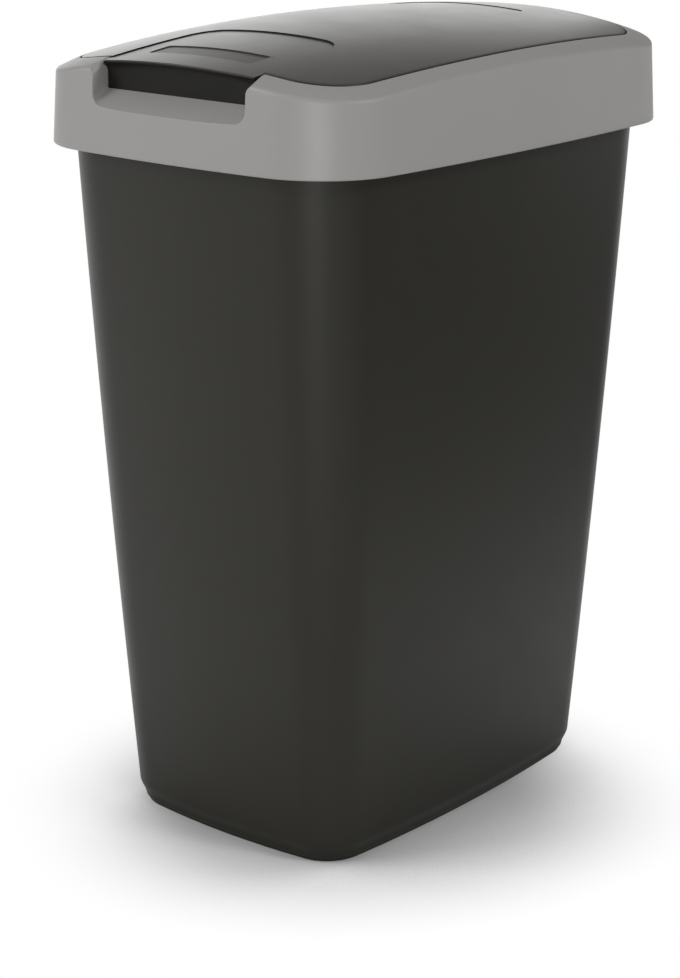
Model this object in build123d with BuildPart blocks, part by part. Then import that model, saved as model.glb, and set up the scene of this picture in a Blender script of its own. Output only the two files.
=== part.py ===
from build123d import *
import os
from math import sqrt

os.makedirs("parts", exist_ok=True)

# A household waste bin. Millimetres, +Z up, the front (grip notch) faces -Y.
# The origin is the centre of the underside, on the floor.

# Bucket: tapered, with bowed sides that bulge a little at half height
bucket_height = 463.0
bucket_top_width = 231.6
bucket_top_depth = 344.6
bucket_top_corner = 44.9
bucket_base_width = 191.4
bucket_base_depth = 280.6
bucket_base_corner = 31.5
bucket_bow = 6.9
bucket_bulge = 1.5
bucket_wall = 2.3
base_edge_round = 2.5

# Recessed foot band and the pocket that leaves a ring to stand on
foot_height = 8.0
foot_inset = 3.0
foot_round = 4.0
floor_thickness = 2.6
floor_round = 4.0
foot_pocket_depth = 1.4
foot_pocket_inset = 14.0

# Rim of the bucket, hidden inside the collar
rim_thickness = 2.4
rim_lip_depth = 10.0
rim_clearance = 0.5

# Collar: the frame that hangs over the bucket's rim
collar_overhang_side = 13.8
collar_overhang_end = 10.2
collar_corner = 53.9
collar_bow = 8.3
collar_drop = 25.7
collar_draft = 4.0
collar_wall = 2.4
shoulder_round = 7.0
collar_edge_round = 0.8
seat_gap = 0.3

# Crown: one shallow double curve that the collar's top and the lid share
crown_rise = 45.8
crown_radius_across = 495.0
crown_radius_along = 1430.0
crown_apex = 26.0
crown_span = 20.0
crown_block_depth = 130.0
crown_block_margin = 25.0
cut_overrun = 1.0

# Lid, inset in the collar's top
lid_margin_side = 16.2
lid_margin_front = 18.3
lid_margin_rear = 22.4
lid_corner = 37.2
lid_bow = 7.8
lid_thickness = 2.2
lid_rim_height = 4.0
lid_edge_round = 0.7
seam_gap = 1.2

# Inner walls of the collar: a mouth wall below the lid, a seat on the rim and a plug in the bucket
mouth_wall = 2.0
seat_thickness = 2.0
plug_depth = 8.0
plug_gap = 0.6
ledge_width = 4.0
ledge_thickness = 2.0
ledge_gap = 0.3
ledge_end_setback = 6.0

# Grip notch in the collar's front, with a floor that climbs to the lid's grip wall
notch_width = 120.0
notch_corner = 8.0
notch_inner_corner = 1.5
notch_step = 0.7
notch_wall = 2.2
notch_floor_front = 27.2
notch_floor_rear = 37.2
notch_flare_front = 5.5
notch_flare_rear = 1.0

# Lip and grip wall of the lid
lip_side_gap = 1.0
lip_reach = 9.4
lip_bow = 4.0
lip_thickness = 1.9
lip_nose_round = 0.8
lip_root_round = 5.0
lip_overlap = 8.0
touch = 0.1
grip_wall_setback = 16.5
grip_wall_thickness = 2.2
grip_wall_overlap = 3.5
grip_gap = 0.6
grip_slot_depth = 8.0

# Sunk panel, finger rest and blank pad on the lid's top
panel_depth = 0.8
panel_front_width = 120.0
panel_rear_width = 109.0
panel_length = 80.0
panel_corner = 17.0
rest_width = 80.0
rest_length = 19.0
rest_setback = 12.5
rest_corner = 2.5
rest_depth = 0.6
rest_skin = 1.4
pad_width = 86.0
pad_length = 38.0
pad_corner = 6.0
pad_sink = 0.5
pad_setback = 47.0

# Hinge: two pins, each through a knuckle of the lid between two plates of the collar
hinge_reach = 18.8
hinge_spacing = 73.0
hinge_head_gap = 0.5
hinge_swing_gap = 0.2
pin_diameter = 4.0
pin_running_gap = 0.05
pin_fit_gap = 0.02
pin_head_diameter = 6.4
pin_head_length = 1.5
pin_tail = 0.8
pin_chamfer = 0.5
knuckle_width = 6.0
knuckle_side_gap = 0.5
knuckle_radius = 3.8
plate_width = 3.0
plate_eye_radius = 3.5
plate_lean = 4.5
rim_free_margin = 7.0

# Heights and plan sizes that follow from the values above
collar_foot = bucket_height - collar_drop
crown_top = bucket_height + crown_rise
collar_width = bucket_top_width + 2 * collar_overhang_side
collar_depth = bucket_top_depth + 2 * collar_overhang_end
seat_height = bucket_height + seat_gap
lid_width = collar_width - 2 * lid_margin_side
lid_front = lid_margin_front - collar_depth / 2
lid_rear = collar_depth / 2 - lid_margin_rear


def bowed_rectangle(width, front, rear, corner, bow):
    """A rectangle with bowed sides and rounded corners, between two places along the bin."""
    x = width / 2 - bow
    middle = (front + rear) / 2
    with BuildSketch() as shape:
        with BuildLine():
            ThreePointArc((x, front + bow), (x + bow, middle), (x, rear - bow))
            ThreePointArc((x, rear - bow), (0, rear), (-x, rear - bow))
            ThreePointArc((-x, rear - bow), (-x - bow, middle), (-x, front + bow))
            ThreePointArc((-x, front + bow), (0, front), (x, front + bow))
        make_face()
        fillet(shape.vertices(), corner)
    return shape.sketch


def prism(outline, bottom, top):
    """An upright solid over an outline, between two heights."""
    with BuildPart() as solid:
        with BuildSketch(Plane.XY.offset(bottom)):
            add(outline)
        extrude(amount=top - bottom)
    return solid.part


def ring(outer, inner, bottom, top):
    """An upright wall between two outlines and two heights."""
    with BuildPart() as solid:
        with BuildSketch(Plane.XY.offset(bottom)):
            add(outer)
            add(inner, mode=Mode.SUBTRACT)
        extrude(amount=top - bottom)
    return solid.part


def crown_height(x, y):
    """Height of the crown above the floor at a place in plan."""
    fall = crown_radius_across - sqrt(crown_radius_across**2 - x**2)
    radius = crown_radius_along - fall
    return crown_top - crown_radius_along + sqrt(radius**2 - (y - crown_apex) ** 2)


def below_crown(drop):
    """The solid below the crown lowered by a drop: an arc turned about an axis across the bin."""
    half = collar_width / 2 + crown_block_margin
    edge = crown_radius_along - crown_radius_across + sqrt(crown_radius_across**2 - half**2)
    bottom = crown_radius_along - crown_block_depth
    pivot = (0, crown_apex, crown_top - drop - crown_radius_along)
    start = Plane(pivot, x_dir=(1, 0, 0), z_dir=(0, -1, 0)).rotated((-crown_span / 2, 0, 0))
    with BuildPart() as block:
        with BuildSketch(start):
            with BuildLine():
                ThreePointArc((-half, edge), (0, crown_radius_along), (half, edge))
                Polyline((half, edge), (half, bottom), (-half, bottom), (-half, edge))
            make_face()
        revolve(axis=Axis(pivot, (1, 0, 0)), revolution_arc=crown_span)
    return block.part


def cut_below(outline, drop, bottom):
    """An upright solid over an outline, from a height up to the crown lowered by a drop."""
    with BuildPart() as solid:
        add(prism(outline, bottom, crown_top))
        add(below_crown(drop), mode=Mode.INTERSECT)
    return solid.part


def cut_above(outline, drop):
    """An upright solid over an outline, from the crown lowered by a drop up to clear air."""
    with BuildPart() as solid:
        add(prism(outline, collar_foot, crown_top + cut_overrun))
        add(below_crown(drop), mode=Mode.SUBTRACT)
    return solid.part


# Hinge axis: as high as the eyes fit below the lid, as far forward as the lid's rear edge needs
eye_reach = hinge_spacing / 2 + knuckle_width / 2 + knuckle_side_gap + plate_width
hinge_y = lid_rear - hinge_reach
hinge_z = crown_height(eye_reach, hinge_y) - lid_thickness - hinge_head_gap - plate_eye_radius
hinge_rise = crown_height(0, lid_rear) - hinge_z
hinge_swing = sqrt(hinge_reach**2 + hinge_rise**2) + hinge_swing_gap

# Opening of the collar: the lid with its seam, wider at the rear by what the swing needs
opening_front = lid_front - seam_gap
opening_rear = hinge_y + hinge_swing
opening_width = lid_width + 2 * seam_gap
opening_corner = lid_corner + seam_gap
opening = bowed_rectangle(opening_width, opening_front, opening_rear, opening_corner, lid_bow)
lid_outline = bowed_rectangle(lid_width, lid_front, lid_rear, lid_corner, lid_bow)


def bucket_section(height, inset=0.0):
    """The bucket's outline at a height, with its slight barrel bulge, drawn in by an inset."""
    share = (height - foot_height) / (bucket_height - foot_height)
    bulge = 4 * bucket_bulge * share * (1 - share)
    grow = 2 * (bulge - inset)
    width = bucket_base_width + share * (bucket_top_width - bucket_base_width) + grow
    depth = bucket_base_depth + share * (bucket_top_depth - bucket_base_depth) + grow
    corner = bucket_base_corner + share * (bucket_top_corner - bucket_base_corner) - inset
    return bowed_rectangle(width, -depth / 2, depth / 2, corner, bucket_bow)


def bucket_taper(bottom, inset=0.0):
    """The tapered body, or its hollow, as a smooth loft from a height to the rim."""
    with BuildPart() as body:
        for height in (bottom, (bottom + bucket_height) / 2, bucket_height):
            with BuildSketch(Plane.XY.offset(height)):
                add(bucket_section(height, inset))
        loft()
    return body.part


def foot_outline(inset):
    """The foot band's outline, drawn in from the base of the body."""
    half = bucket_base_depth / 2 - inset
    return bowed_rectangle(bucket_base_width - 2 * inset, -half, half, bucket_base_corner - inset, bucket_bow)


def collar_section(inset, drawn):
    """The collar's outline, drawn in by an inset and by the draft reached at its height."""
    total = inset + drawn
    half = collar_depth / 2 - total
    return bowed_rectangle(collar_width - 2 * total, -half, half, collar_corner - total, collar_bow)


def collar_form(inset, rounding, hole):
    """The collar's drafted skirt closed by the crown, less its hole, or its hollow when drawn in by a wall."""
    with BuildPart() as form:
        with BuildSketch(Plane.XY.offset(collar_foot)):
            add(collar_section(inset, 0))
        with BuildSketch(Plane.XY.offset(crown_top)):
            add(collar_section(inset, collar_draft))
        loft(ruled=True)
        add(below_crown(inset), mode=Mode.INTERSECT)
        add(prism(hole, seat_height, crown_top + cut_overrun), mode=Mode.SUBTRACT)
        fillet(form.faces().sort_by(Axis.Z)[-1].outer_wire().edges(), rounding)
    return form.part


# Bucket
hollow_bottom = foot_height + floor_thickness
floor_top = foot_pocket_depth + floor_thickness
rim_drawn = collar_draft * collar_drop / (crown_top - collar_foot)
rim_outer = collar_section(collar_wall + rim_clearance, rim_drawn)
rim_inner = collar_section(collar_wall + rim_clearance + rim_thickness, rim_drawn)

with BuildPart() as foot_hollow:
    add(prism(foot_outline(foot_inset + bucket_wall), floor_top, hollow_bottom + floor_round))
    fillet(foot_hollow.edges().group_by(Axis.Z)[0], floor_round)

with BuildPart() as bucket:
    add(bucket_taper(foot_height))
    fillet(bucket.edges().group_by(Axis.Z)[0], base_edge_round)
    add(prism(foot_outline(foot_inset), 0, foot_height + bucket_wall))
    fillet(bucket.edges().group_by(Axis.Z)[0], foot_round)
    add(prism(rim_outer, bucket_height - rim_thickness, bucket_height))
    add(ring(rim_outer, rim_inner, bucket_height - rim_lip_depth, bucket_height))
    add(bucket_taper(hollow_bottom, bucket_wall), mode=Mode.SUBTRACT)
    add(foot_hollow.part, mode=Mode.SUBTRACT)
    add(prism(foot_outline(foot_inset + foot_pocket_inset), 0, foot_pocket_depth), mode=Mode.SUBTRACT)

# Grip notch: a U that is cut into the front face and climbs, narrowing its corners, to the grip wall
grip_wall_y = grip_wall_setback - collar_depth / 2
notch_floor_low = collar_foot + notch_floor_front
notch_floor_high = collar_foot + notch_floor_rear
notch_front = collar_draft * notch_floor_front / (crown_top - collar_foot) + notch_step - collar_depth / 2
notch_rear = grip_wall_y - grip_gap
notch_slope = (notch_floor_high - notch_floor_low) / (notch_rear - notch_front)
notch_end = grip_wall_y + grip_wall_thickness
notch_floor_end = notch_floor_high + notch_slope * (notch_end - notch_rear)
grip_wall_foot = notch_floor_high - grip_wall_overlap
slot_end = notch_rear + grip_slot_depth


def notch_profile(grow, floor, corner):
    """The notch seen from the front: a tall U with rounded lower corners."""
    top = crown_top + cut_overrun
    with BuildSketch() as shape:
        with Locations((0, (top + floor - grow) / 2)):
            Rectangle(notch_width + 2 * grow, top - floor + grow)
        fillet(shape.vertices().group_by(Axis.Y)[0], corner + grow)
    return shape.sketch


def notch_form(grow):
    """The climbing notch, or the channel round it when grown by its wall."""
    with BuildPart() as form:
        with BuildSketch(Plane.XZ.offset(-notch_front)):
            add(notch_profile(grow, notch_floor_low, notch_corner))
        with BuildSketch(Plane.XZ.offset(-notch_end)):
            add(notch_profile(grow, notch_floor_end, notch_inner_corner))
        loft(ruled=True)
    return form.part


with BuildPart() as notch_mouth:
    with BuildSketch(Plane.XZ.offset(-notch_front)):
        add(notch_profile(0, notch_floor_low, notch_corner))
    extrude(amount=notch_step + collar_draft)
    add(collar_form(notch_step, shoulder_round, opening), mode=Mode.SUBTRACT)


def flare_profile(y, reach):
    """What rounds off the notch's right top edge, seen from the front at a place along the bin."""
    side = notch_width / 2
    end = side + reach
    top = crown_height(end, y)
    middle = (end - reach * sqrt(0.5), top - reach + reach * sqrt(0.5))
    with BuildSketch() as shape:
        with BuildLine():
            ThreePointArc((side, top - reach), middle, (end, top))
            Polyline((end, top), (end, crown_top), (0, crown_top), (0, top - reach), (side, top - reach))
        make_face()
    return shape.sketch


with BuildPart() as notch_flare:
    for y, reach in ((notch_front, notch_flare_front), (slot_end, notch_flare_rear)):
        with BuildSketch(Plane.XZ.offset(-y)):
            add(flare_profile(y, reach))
    loft(ruled=True)
    mirror(about=Plane.YZ)

slot_foot = grip_wall_foot - grip_gap
with BuildPart() as grip_slot:
    with BuildSketch(Plane.XY.offset(slot_foot)):
        with Locations((0, notch_rear + grip_slot_depth / 2)):
            Rectangle(notch_width, grip_slot_depth)
    extrude(amount=crown_top - slot_foot)

# Collar
mouth_outline = bowed_rectangle(
    opening_width + 2 * mouth_wall,
    opening_front - mouth_wall,
    opening_rear + mouth_wall,
    opening_corner + mouth_wall,
    lid_bow,
)
plug_outer = bucket_section(bucket_height - plug_depth, bucket_wall + plug_gap)
plug_inner = bucket_section(bucket_height - plug_depth, bucket_wall + plug_gap + mouth_wall)
ledge_inner = bowed_rectangle(
    opening_width - 2 * ledge_width,
    opening_front + ledge_width,
    opening_rear - ledge_width,
    opening_corner - ledge_width,
    lid_bow,
)
ledge_drop = lid_rim_height + ledge_gap

with BuildPart() as ledge:
    add(cut_below(mouth_outline, ledge_drop, seat_height))
    add(below_crown(ledge_drop + ledge_thickness), mode=Mode.SUBTRACT)
    add(prism(ledge_inner, seat_height, crown_top), mode=Mode.SUBTRACT)
    split(bisect_by=Plane.XZ.offset(ledge_end_setback - hinge_y), keep=Keep.TOP)

plate_offset = (knuckle_width + plate_width) / 2 + knuckle_side_gap
plate_foot_top = hinge_z - hinge_swing - hinge_swing_gap


def plate_profile():
    """A hinge plate from the side: an eye on a leaning post with a foot that runs to the rear wall."""
    front = hinge_y - plate_eye_radius
    with BuildSketch() as shape:
        with Locations((hinge_y, hinge_z)):
            Circle(plate_eye_radius)
        with BuildLine():
            Polyline(
                (front, hinge_z),
                (hinge_y + plate_eye_radius, hinge_z),
                (hinge_y + plate_eye_radius - plate_lean, plate_foot_top),
                (opening_rear + mouth_wall, plate_foot_top),
                (opening_rear + mouth_wall, seat_height),
                (front - plate_lean, seat_height),
                (front - plate_lean, plate_foot_top),
                (front, hinge_z),
            )
        make_face()
        with Locations((hinge_y, hinge_z)):
            Circle(pin_diameter / 2 + pin_fit_gap, mode=Mode.SUBTRACT)
    return shape.sketch


with BuildPart() as hinge_plates:
    for side in (-1, 1):
        for offset in (-plate_offset, plate_offset):
            with BuildSketch(Plane.YZ.offset(side * hinge_spacing / 2 + offset)):
                add(plate_profile())
            extrude(amount=plate_width / 2, both=True)
    add(prism(mouth_outline, seat_height, crown_top), mode=Mode.INTERSECT)

with BuildSketch() as seat_hole:
    add(opening)
    add(plug_inner, mode=Mode.INTERSECT)

with BuildSketch() as seat_outline:
    add(mouth_outline)
    add(plug_outer)

with BuildPart() as skirt_hollow:
    add(collar_form(collar_wall, shoulder_round - collar_wall, mouth_outline))
    add(notch_form(notch_wall), mode=Mode.SUBTRACT)

with BuildPart() as collar:
    add(collar_form(0, shoulder_round, opening))
    fillet(collar.edges().group_by(Axis.Z)[0], collar_edge_round)
    add(skirt_hollow.part, mode=Mode.SUBTRACT)
    add(ring(seat_outline.sketch, seat_hole.sketch, seat_height, seat_height + seat_thickness))
    add(ring(plug_outer, plug_inner, bucket_height - plug_depth, seat_height + seat_thickness))
    add(ledge.part)
    add(notch_mouth.part, mode=Mode.SUBTRACT)
    add(notch_form(0), mode=Mode.SUBTRACT)
    add(notch_flare.part, mode=Mode.SUBTRACT)
    add(grip_slot.part, mode=Mode.SUBTRACT)
    add(hinge_plates.part)

# Lid
lip_half = notch_width / 2 - lip_side_gap
lip_front = lid_front - lip_reach
panel_rear = lid_front + panel_length
pad_rear = lid_rear - pad_setback

with BuildSketch() as lip_plan:
    with BuildLine():
        ThreePointArc((-lip_half, lip_front + lip_bow), (0, lip_front), (lip_half, lip_front + lip_bow))
        Line((lip_half, lip_front + lip_bow), (lip_half, lid_front + lip_overlap))
        Line((lip_half, lid_front + lip_overlap), (-lip_half, lid_front + lip_overlap))
        Line((-lip_half, lid_front + lip_overlap), (-lip_half, lip_front + lip_bow))
    make_face()

with BuildSketch() as grip_wall_plan:
    with Locations((0, grip_wall_y + grip_wall_thickness / 2)):
        Rectangle(2 * lip_half, grip_wall_thickness)

with BuildPart() as lip:
    add(cut_below(lip_plan.sketch, panel_depth, collar_foot))
    add(below_crown(panel_depth + lip_thickness), mode=Mode.SUBTRACT)
    nose = lip.edges().filter_by_position(Axis.Y, lip_front - touch, lip_front + lip_bow - touch)
    fillet(nose, lip_nose_round)
    add(cut_below(grip_wall_plan.sketch, panel_depth + lip_thickness / 2, grip_wall_foot))
    on_wall = lip.edges().filter_by_position(Axis.Y, grip_wall_y - touch, grip_wall_y + touch)
    fillet(on_wall.sort_by(Axis.Z)[-1], lip_root_round)

with BuildSketch() as panel_plan:
    front_half = panel_front_width / 2
    rear_half = panel_rear_width / 2
    with BuildLine():
        Polyline((-front_half, lip_front), (front_half, lip_front), (rear_half, panel_rear))
        Polyline((rear_half, panel_rear), (-rear_half, panel_rear), (-front_half, lip_front))
    make_face()
    fillet(panel_plan.vertices().group_by(Axis.Y)[-1], panel_corner)

rest_front = lid_front + rest_setback
rest_rear = rest_front + rest_length
rest_drop = panel_depth + rest_depth

with BuildSketch() as rest_plan:
    with Locations((0, (rest_front + rest_rear) / 2)):
        RectangleRounded(rest_width, rest_length, rest_corner)

with BuildSketch() as rest_boss_plan:
    with Locations((0, (rest_front + rest_rear) / 2)):
        RectangleRounded(rest_width + 2 * rest_skin, rest_length + 2 * rest_skin, rest_corner + rest_skin)

with BuildPart() as rest_boss:
    add(cut_below(rest_boss_plan.sketch, lid_thickness / 2, collar_foot))
    add(below_crown(rest_drop + rest_skin), mode=Mode.SUBTRACT)

with BuildSketch() as pad_plan:
    with Locations((0, pad_rear - pad_length / 2)):
        RectangleRounded(pad_width, pad_length, pad_corner)

with BuildPart() as lid_hollow:
    inner = bowed_rectangle(
        lid_width - 2 * lid_thickness,
        lid_front + lid_thickness,
        lid_rear - lid_thickness,
        lid_corner - lid_thickness,
        lid_bow,
    )
    add(cut_below(inner, lid_thickness, collar_foot))

with BuildSketch() as rim_free_plan:
    with Locations((0, lid_rear)):
        Rectangle(2 * (eye_reach + rim_free_margin), hinge_reach)

with BuildPart() as knuckles:
    for side in (-1, 1):
        with BuildSketch(Plane.YZ.offset(side * hinge_spacing / 2)):
            with Locations((hinge_y, hinge_z)):
                Circle(knuckle_radius)
            with Locations((hinge_y, (hinge_z + crown_top) / 2)):
                Rectangle(2 * knuckle_radius, crown_top - hinge_z)
            with Locations((hinge_y, hinge_z)):
                Circle(pin_diameter / 2 + pin_running_gap, mode=Mode.SUBTRACT)
        extrude(amount=knuckle_width / 2, both=True)
    add(below_crown(lid_thickness / 2), mode=Mode.INTERSECT)

with BuildPart() as lid:
    add(cut_below(lid_outline, 0, collar_foot))
    fillet(lid.faces().sort_by(Axis.Z)[-1].edges(), lid_edge_round)
    add(below_crown(lid_rim_height), mode=Mode.SUBTRACT)
    add(lid_hollow.part, mode=Mode.SUBTRACT)
    add(cut_below(rim_free_plan.sketch, lid_thickness, collar_foot), mode=Mode.SUBTRACT)
    add(cut_above(panel_plan.sketch, panel_depth), mode=Mode.SUBTRACT)
    add(rest_boss.part)
    add(cut_above(rest_plan.sketch, rest_drop), mode=Mode.SUBTRACT)
    add(cut_above(pad_plan.sketch, pad_sink), mode=Mode.SUBTRACT)
    add(lip.part)
    add(knuckles.part)

for piece, label in ((bucket, "bucket"), (collar, "collar"), (lid, "lid")):
    piece.part.label = label
    export_step(piece.part, f"parts/{label}.step")

# Hinge pins, pushed in from the middle of the bin until the head meets the inner plate
pin_head_end = hinge_spacing / 2 - plate_offset - plate_width / 2
pin_end = hinge_spacing / 2 + plate_offset + plate_width / 2 + pin_tail
for side, label in ((-1, "hinge_pin_left"), (1, "hinge_pin_right")):
    with BuildPart() as pin:
        with BuildSketch(Plane.YZ.offset(side * (pin_head_end - pin_head_length))):
            with Locations((hinge_y, hinge_z)):
                Circle(pin_head_diameter / 2)
        extrude(amount=side * pin_head_length)
        with BuildSketch(Plane.YZ.offset(side * pin_head_end)):
            with Locations((hinge_y, hinge_z)):
                Circle(pin_diameter / 2)
        extrude(amount=side * (pin_end - pin_head_end))
        ends = pin.edges().filter_by(GeomType.CIRCLE).sort_by(Axis.X)
        chamfer(ends[-1] if side > 0 else ends[0], pin_chamfer)
    pin.part.label = label
    export_step(pin.part, f"parts/{label}.step")
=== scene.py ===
"""A household waste bin: a dark tapered bucket, a grey collar and a charcoal lid that is hinged in it.

The bucket, the collar and the lid are fine meshes built from the bin's own sizes. They stand for the plain
solids of the frame. The hinge pins keep their solids and get a moulded finish.
"""

import logging
import math
from dataclasses import dataclass, field
from enum import Enum
from typing import Callable, Sequence

import bmesh
import bpy
import numpy as np
from mathutils import Matrix, Vector


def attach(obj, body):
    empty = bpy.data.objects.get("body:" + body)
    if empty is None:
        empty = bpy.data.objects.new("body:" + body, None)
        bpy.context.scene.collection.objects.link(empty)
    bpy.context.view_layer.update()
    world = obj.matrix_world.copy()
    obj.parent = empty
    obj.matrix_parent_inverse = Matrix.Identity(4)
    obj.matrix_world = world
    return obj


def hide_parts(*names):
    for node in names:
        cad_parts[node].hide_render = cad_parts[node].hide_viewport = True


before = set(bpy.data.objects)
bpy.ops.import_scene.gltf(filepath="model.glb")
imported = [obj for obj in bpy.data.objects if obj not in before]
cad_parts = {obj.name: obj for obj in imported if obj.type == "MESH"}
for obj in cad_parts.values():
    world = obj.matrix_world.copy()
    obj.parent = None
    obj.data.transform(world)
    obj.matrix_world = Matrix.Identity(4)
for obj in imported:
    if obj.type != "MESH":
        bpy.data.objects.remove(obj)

LOG = logging.getLogger("waste_bin")
WHITE = (1, 1, 1, 1)

# A millimetre in metres, and the distances in metres below which points and slivers are merged
MM = 0.001
WELD = 2e-6
SLIVER = 1e-6

# How many points draw a small edge, a larger round and a full corner
EDGE_POINTS = 4
ROUND_POINTS = 6
CORNER_POINTS = 9

Heights = Callable[[np.ndarray, np.ndarray], np.ndarray]
Mark = tuple[float, float] | None
Value = float | bpy.types.NodeSocket


class Body(Enum):
    """The bodies of the frame that the pieces ride on."""

    BUCKET = "bucket"
    COLLAR = "collar"
    LID = "lid"


class Join(Enum):
    """How a second solid changes the first one."""

    ADD = "UNION"
    CUT = "DIFFERENCE"
    KEEP_COMMON = "INTERSECT"


# Outlines and surfaces


def bow_radius(half: float, bow: float) -> float:
    """The radius of an arc that rises by a bow over half its chord."""
    return (half**2 + bow**2) / (2 * bow)


def turns(start: float, stop: float, points: int) -> np.ndarray:
    """Evenly spaced angles in radians, from one angle to another in degrees."""
    return np.radians(np.linspace(start, stop, points))


@dataclass(frozen=True)
class Outline:
    """A rectangle with bowed sides and rounded corners, seen from above, in millimetres."""

    width: float
    front: float
    rear: float
    corner: float
    bow: float
    side_steps: int = 14
    corner_steps: int = 14
    end_steps: int = 12

    def drawn_in(self, inset: float) -> "Outline":
        """The same outline drawn in by an inset, or let out by a negative one."""
        return Outline(
            self.width - 2 * inset, self.front + inset, self.rear - inset, self.corner - inset, self.bow
        )

    def quarter(self) -> np.ndarray:
        """Points from the middle of the right side to the middle of the rear.

        Returns:
            An array of places in plan, one row each.
        """
        x = self.width / 2 - self.bow
        middle = (self.front + self.rear) / 2
        half = (self.rear - self.front) / 2 - self.bow
        side_radius, end_radius = bow_radius(half, self.bow), bow_radius(x, self.bow)
        side = np.array([x + self.bow - side_radius, middle])
        end = np.array([0.0, self.rear - end_radius])
        across = end - side
        apart = np.linalg.norm(across)
        along = ((side_radius - self.corner) ** 2 - (end_radius - self.corner) ** 2 + apart**2) / (2 * apart)
        off = math.sqrt((side_radius - self.corner) ** 2 - along**2)
        foot = side + across * along / apart
        turned = np.array([-across[1], across[0]]) / apart * off
        centre = max((foot + turned, foot - turned), key=lambda p: p[0] + p[1])
        start = math.atan2(*(centre - side)[::-1])
        stop = math.atan2(*(centre - end)[::-1])
        rows = [
            (side, side_radius, np.linspace(0, start, self.side_steps, endpoint=False)),
            (centre, self.corner, np.linspace(start, stop, self.corner_steps, endpoint=False)),
            (end, end_radius, np.linspace(stop, math.pi / 2, self.end_steps + 1)),
        ]
        return np.vstack([c + r * np.stack([np.cos(a), np.sin(a)], 1) for c, r, a in rows])

    def points(self) -> np.ndarray:
        """The whole outline, turning anticlockwise from the middle of the right side."""
        q = self.quarter()
        middle = (self.front + self.rear) / 2
        left = q * (-1, 1)
        front_left = left * (1, -1) + (0, 2 * middle)
        front_right = q * (1, -1) + (0, 2 * middle)
        return np.vstack([q[:-1], left[:0:-1], front_left[:-1], front_right[:0:-1]])


@dataclass(frozen=True)
class Crown:
    """The shallow double curve that the collar's top and the lid share."""

    top: float = 508.8
    across: float = 495.0
    along: float = 1430.0
    apex: float = 26.0

    def height(self, x: np.ndarray, y: np.ndarray, drop: float = 0.0) -> np.ndarray:
        """Height above the floor at places in plan.

        Args:
            x: Places across the bin.
            y: Places along the bin.
            drop: How far the surface is lowered.

        Returns:
            A height for each place.
        """
        radius = self.along - self.across + np.sqrt(self.across**2 - np.square(x))
        return self.top - drop - self.along + np.sqrt(np.square(radius) - np.square(y - self.apex))

    def at(self, x: float, y: float, drop: float = 0.0) -> float:
        """The height at a single place."""
        return float(self.height(np.array(x), np.array(y), drop))

    def lowered(self, drop: float) -> Heights:
        """The crown lowered by a drop, as a function of the place in plan."""
        return lambda x, y: self.height(x, y, drop)


def level(z: float) -> Heights:
    """A flat surface at one height."""
    return lambda x, y: np.full(np.shape(x), z)


def ring(plan: np.ndarray, heights: Heights) -> np.ndarray:
    """A closed row of points over an outline.

    Args:
        plan: Places in plan.
        heights: The surface that the row lies on.
    """
    return np.column_stack([plan, heights(plan[:, 0], plan[:, 1])])


def let_out(plan: np.ndarray, by: float) -> np.ndarray:
    """Moves an anticlockwise outline outwards along its own normals."""
    along = np.roll(plan, -1, 0) - np.roll(plan, 1, 0)
    normal = np.column_stack([along[:, 1], -along[:, 0]])
    return plan + by * normal / np.linalg.norm(normal, axis=1)[:, None]


def towards(plan: np.ndarray, centre: Sequence[float], share: float) -> np.ndarray:
    """Shrinks an outline towards a centre: 1 leaves it, 0 is the centre."""
    middle = np.asarray(centre, float)
    return middle + (plan - middle) * share


def rounded_polygon(
    corners: Sequence[Sequence[float]], radii: Sequence[float], pitch: float = math.inf
) -> np.ndarray:
    """Points round a convex polygon with rounded corners.

    Args:
        corners: The corners, anticlockwise.
        radii: The rounding of each corner, 0 for a sharp one.
        pitch: The longest step along a straight side, where it has any.

    Returns:
        Places in plan, anticlockwise.
    """
    at = [np.asarray(c, float) for c in corners]
    runs = []
    for i, (corner, radius) in enumerate(zip(at, radii)):
        before = at[i - 1] - corner
        after = at[(i + 1) % len(at)] - corner
        before, after = before / np.linalg.norm(before), after / np.linalg.norm(after)
        if radius <= 0:
            runs.append(corner[None, :])
            continue
        half = math.acos(float(np.clip(before @ after, -1, 1))) / 2
        bisector = (before + after) / np.linalg.norm(before + after)
        centre = corner + bisector * radius / math.sin(half)
        first = corner + before * radius / math.tan(half) - centre
        angles = np.linspace(0, math.pi - 2 * half, CORNER_POINTS)
        cos, sin = np.cos(angles), np.sin(angles)
        arc = np.column_stack([first[0] * cos - first[1] * sin, first[0] * sin + first[1] * cos])
        runs.append(centre + arc)
    rows = []
    for i, run in enumerate(runs):
        nxt = runs[(i + 1) % len(runs)][0]
        rows.append(run)
        gap = np.linalg.norm(nxt - run[-1])
        steps = int(gap // pitch)
        if steps:
            share = np.linspace(0, 1, steps + 2)[1:-1, None]
            rows.append(run[-1] + (nxt - run[-1]) * share)
    return np.vstack(rows)


# Meshes


@dataclass
class Surface:
    """Points and faces of a closed mesh, in millimetres."""

    points: np.ndarray
    faces: list[tuple[int, ...]]

    def volume(self) -> float:
        """The signed volume in cubic millimetres, positive when the faces point outwards."""
        total = 0.0
        for face in self.faces:
            a = self.points[face[0]]
            for i in range(1, len(face) - 1):
                total += float(np.dot(a, np.cross(self.points[face[i]], self.points[face[i + 1]])))
        return total / 6

    def outwards(self) -> "Surface":
        """The same surface with its faces turned outwards."""
        if self.volume() < 0:
            return Surface(self.points, [f[::-1] for f in self.faces])
        return self

    def mesh(self, name: str) -> bpy.types.Mesh:
        """The surface as a Blender mesh in metres."""
        made = bpy.data.meshes.new(name)
        made.from_pydata((self.points * MM).tolist(), [], self.faces)
        made.validate()
        made.update()
        return made


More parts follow.
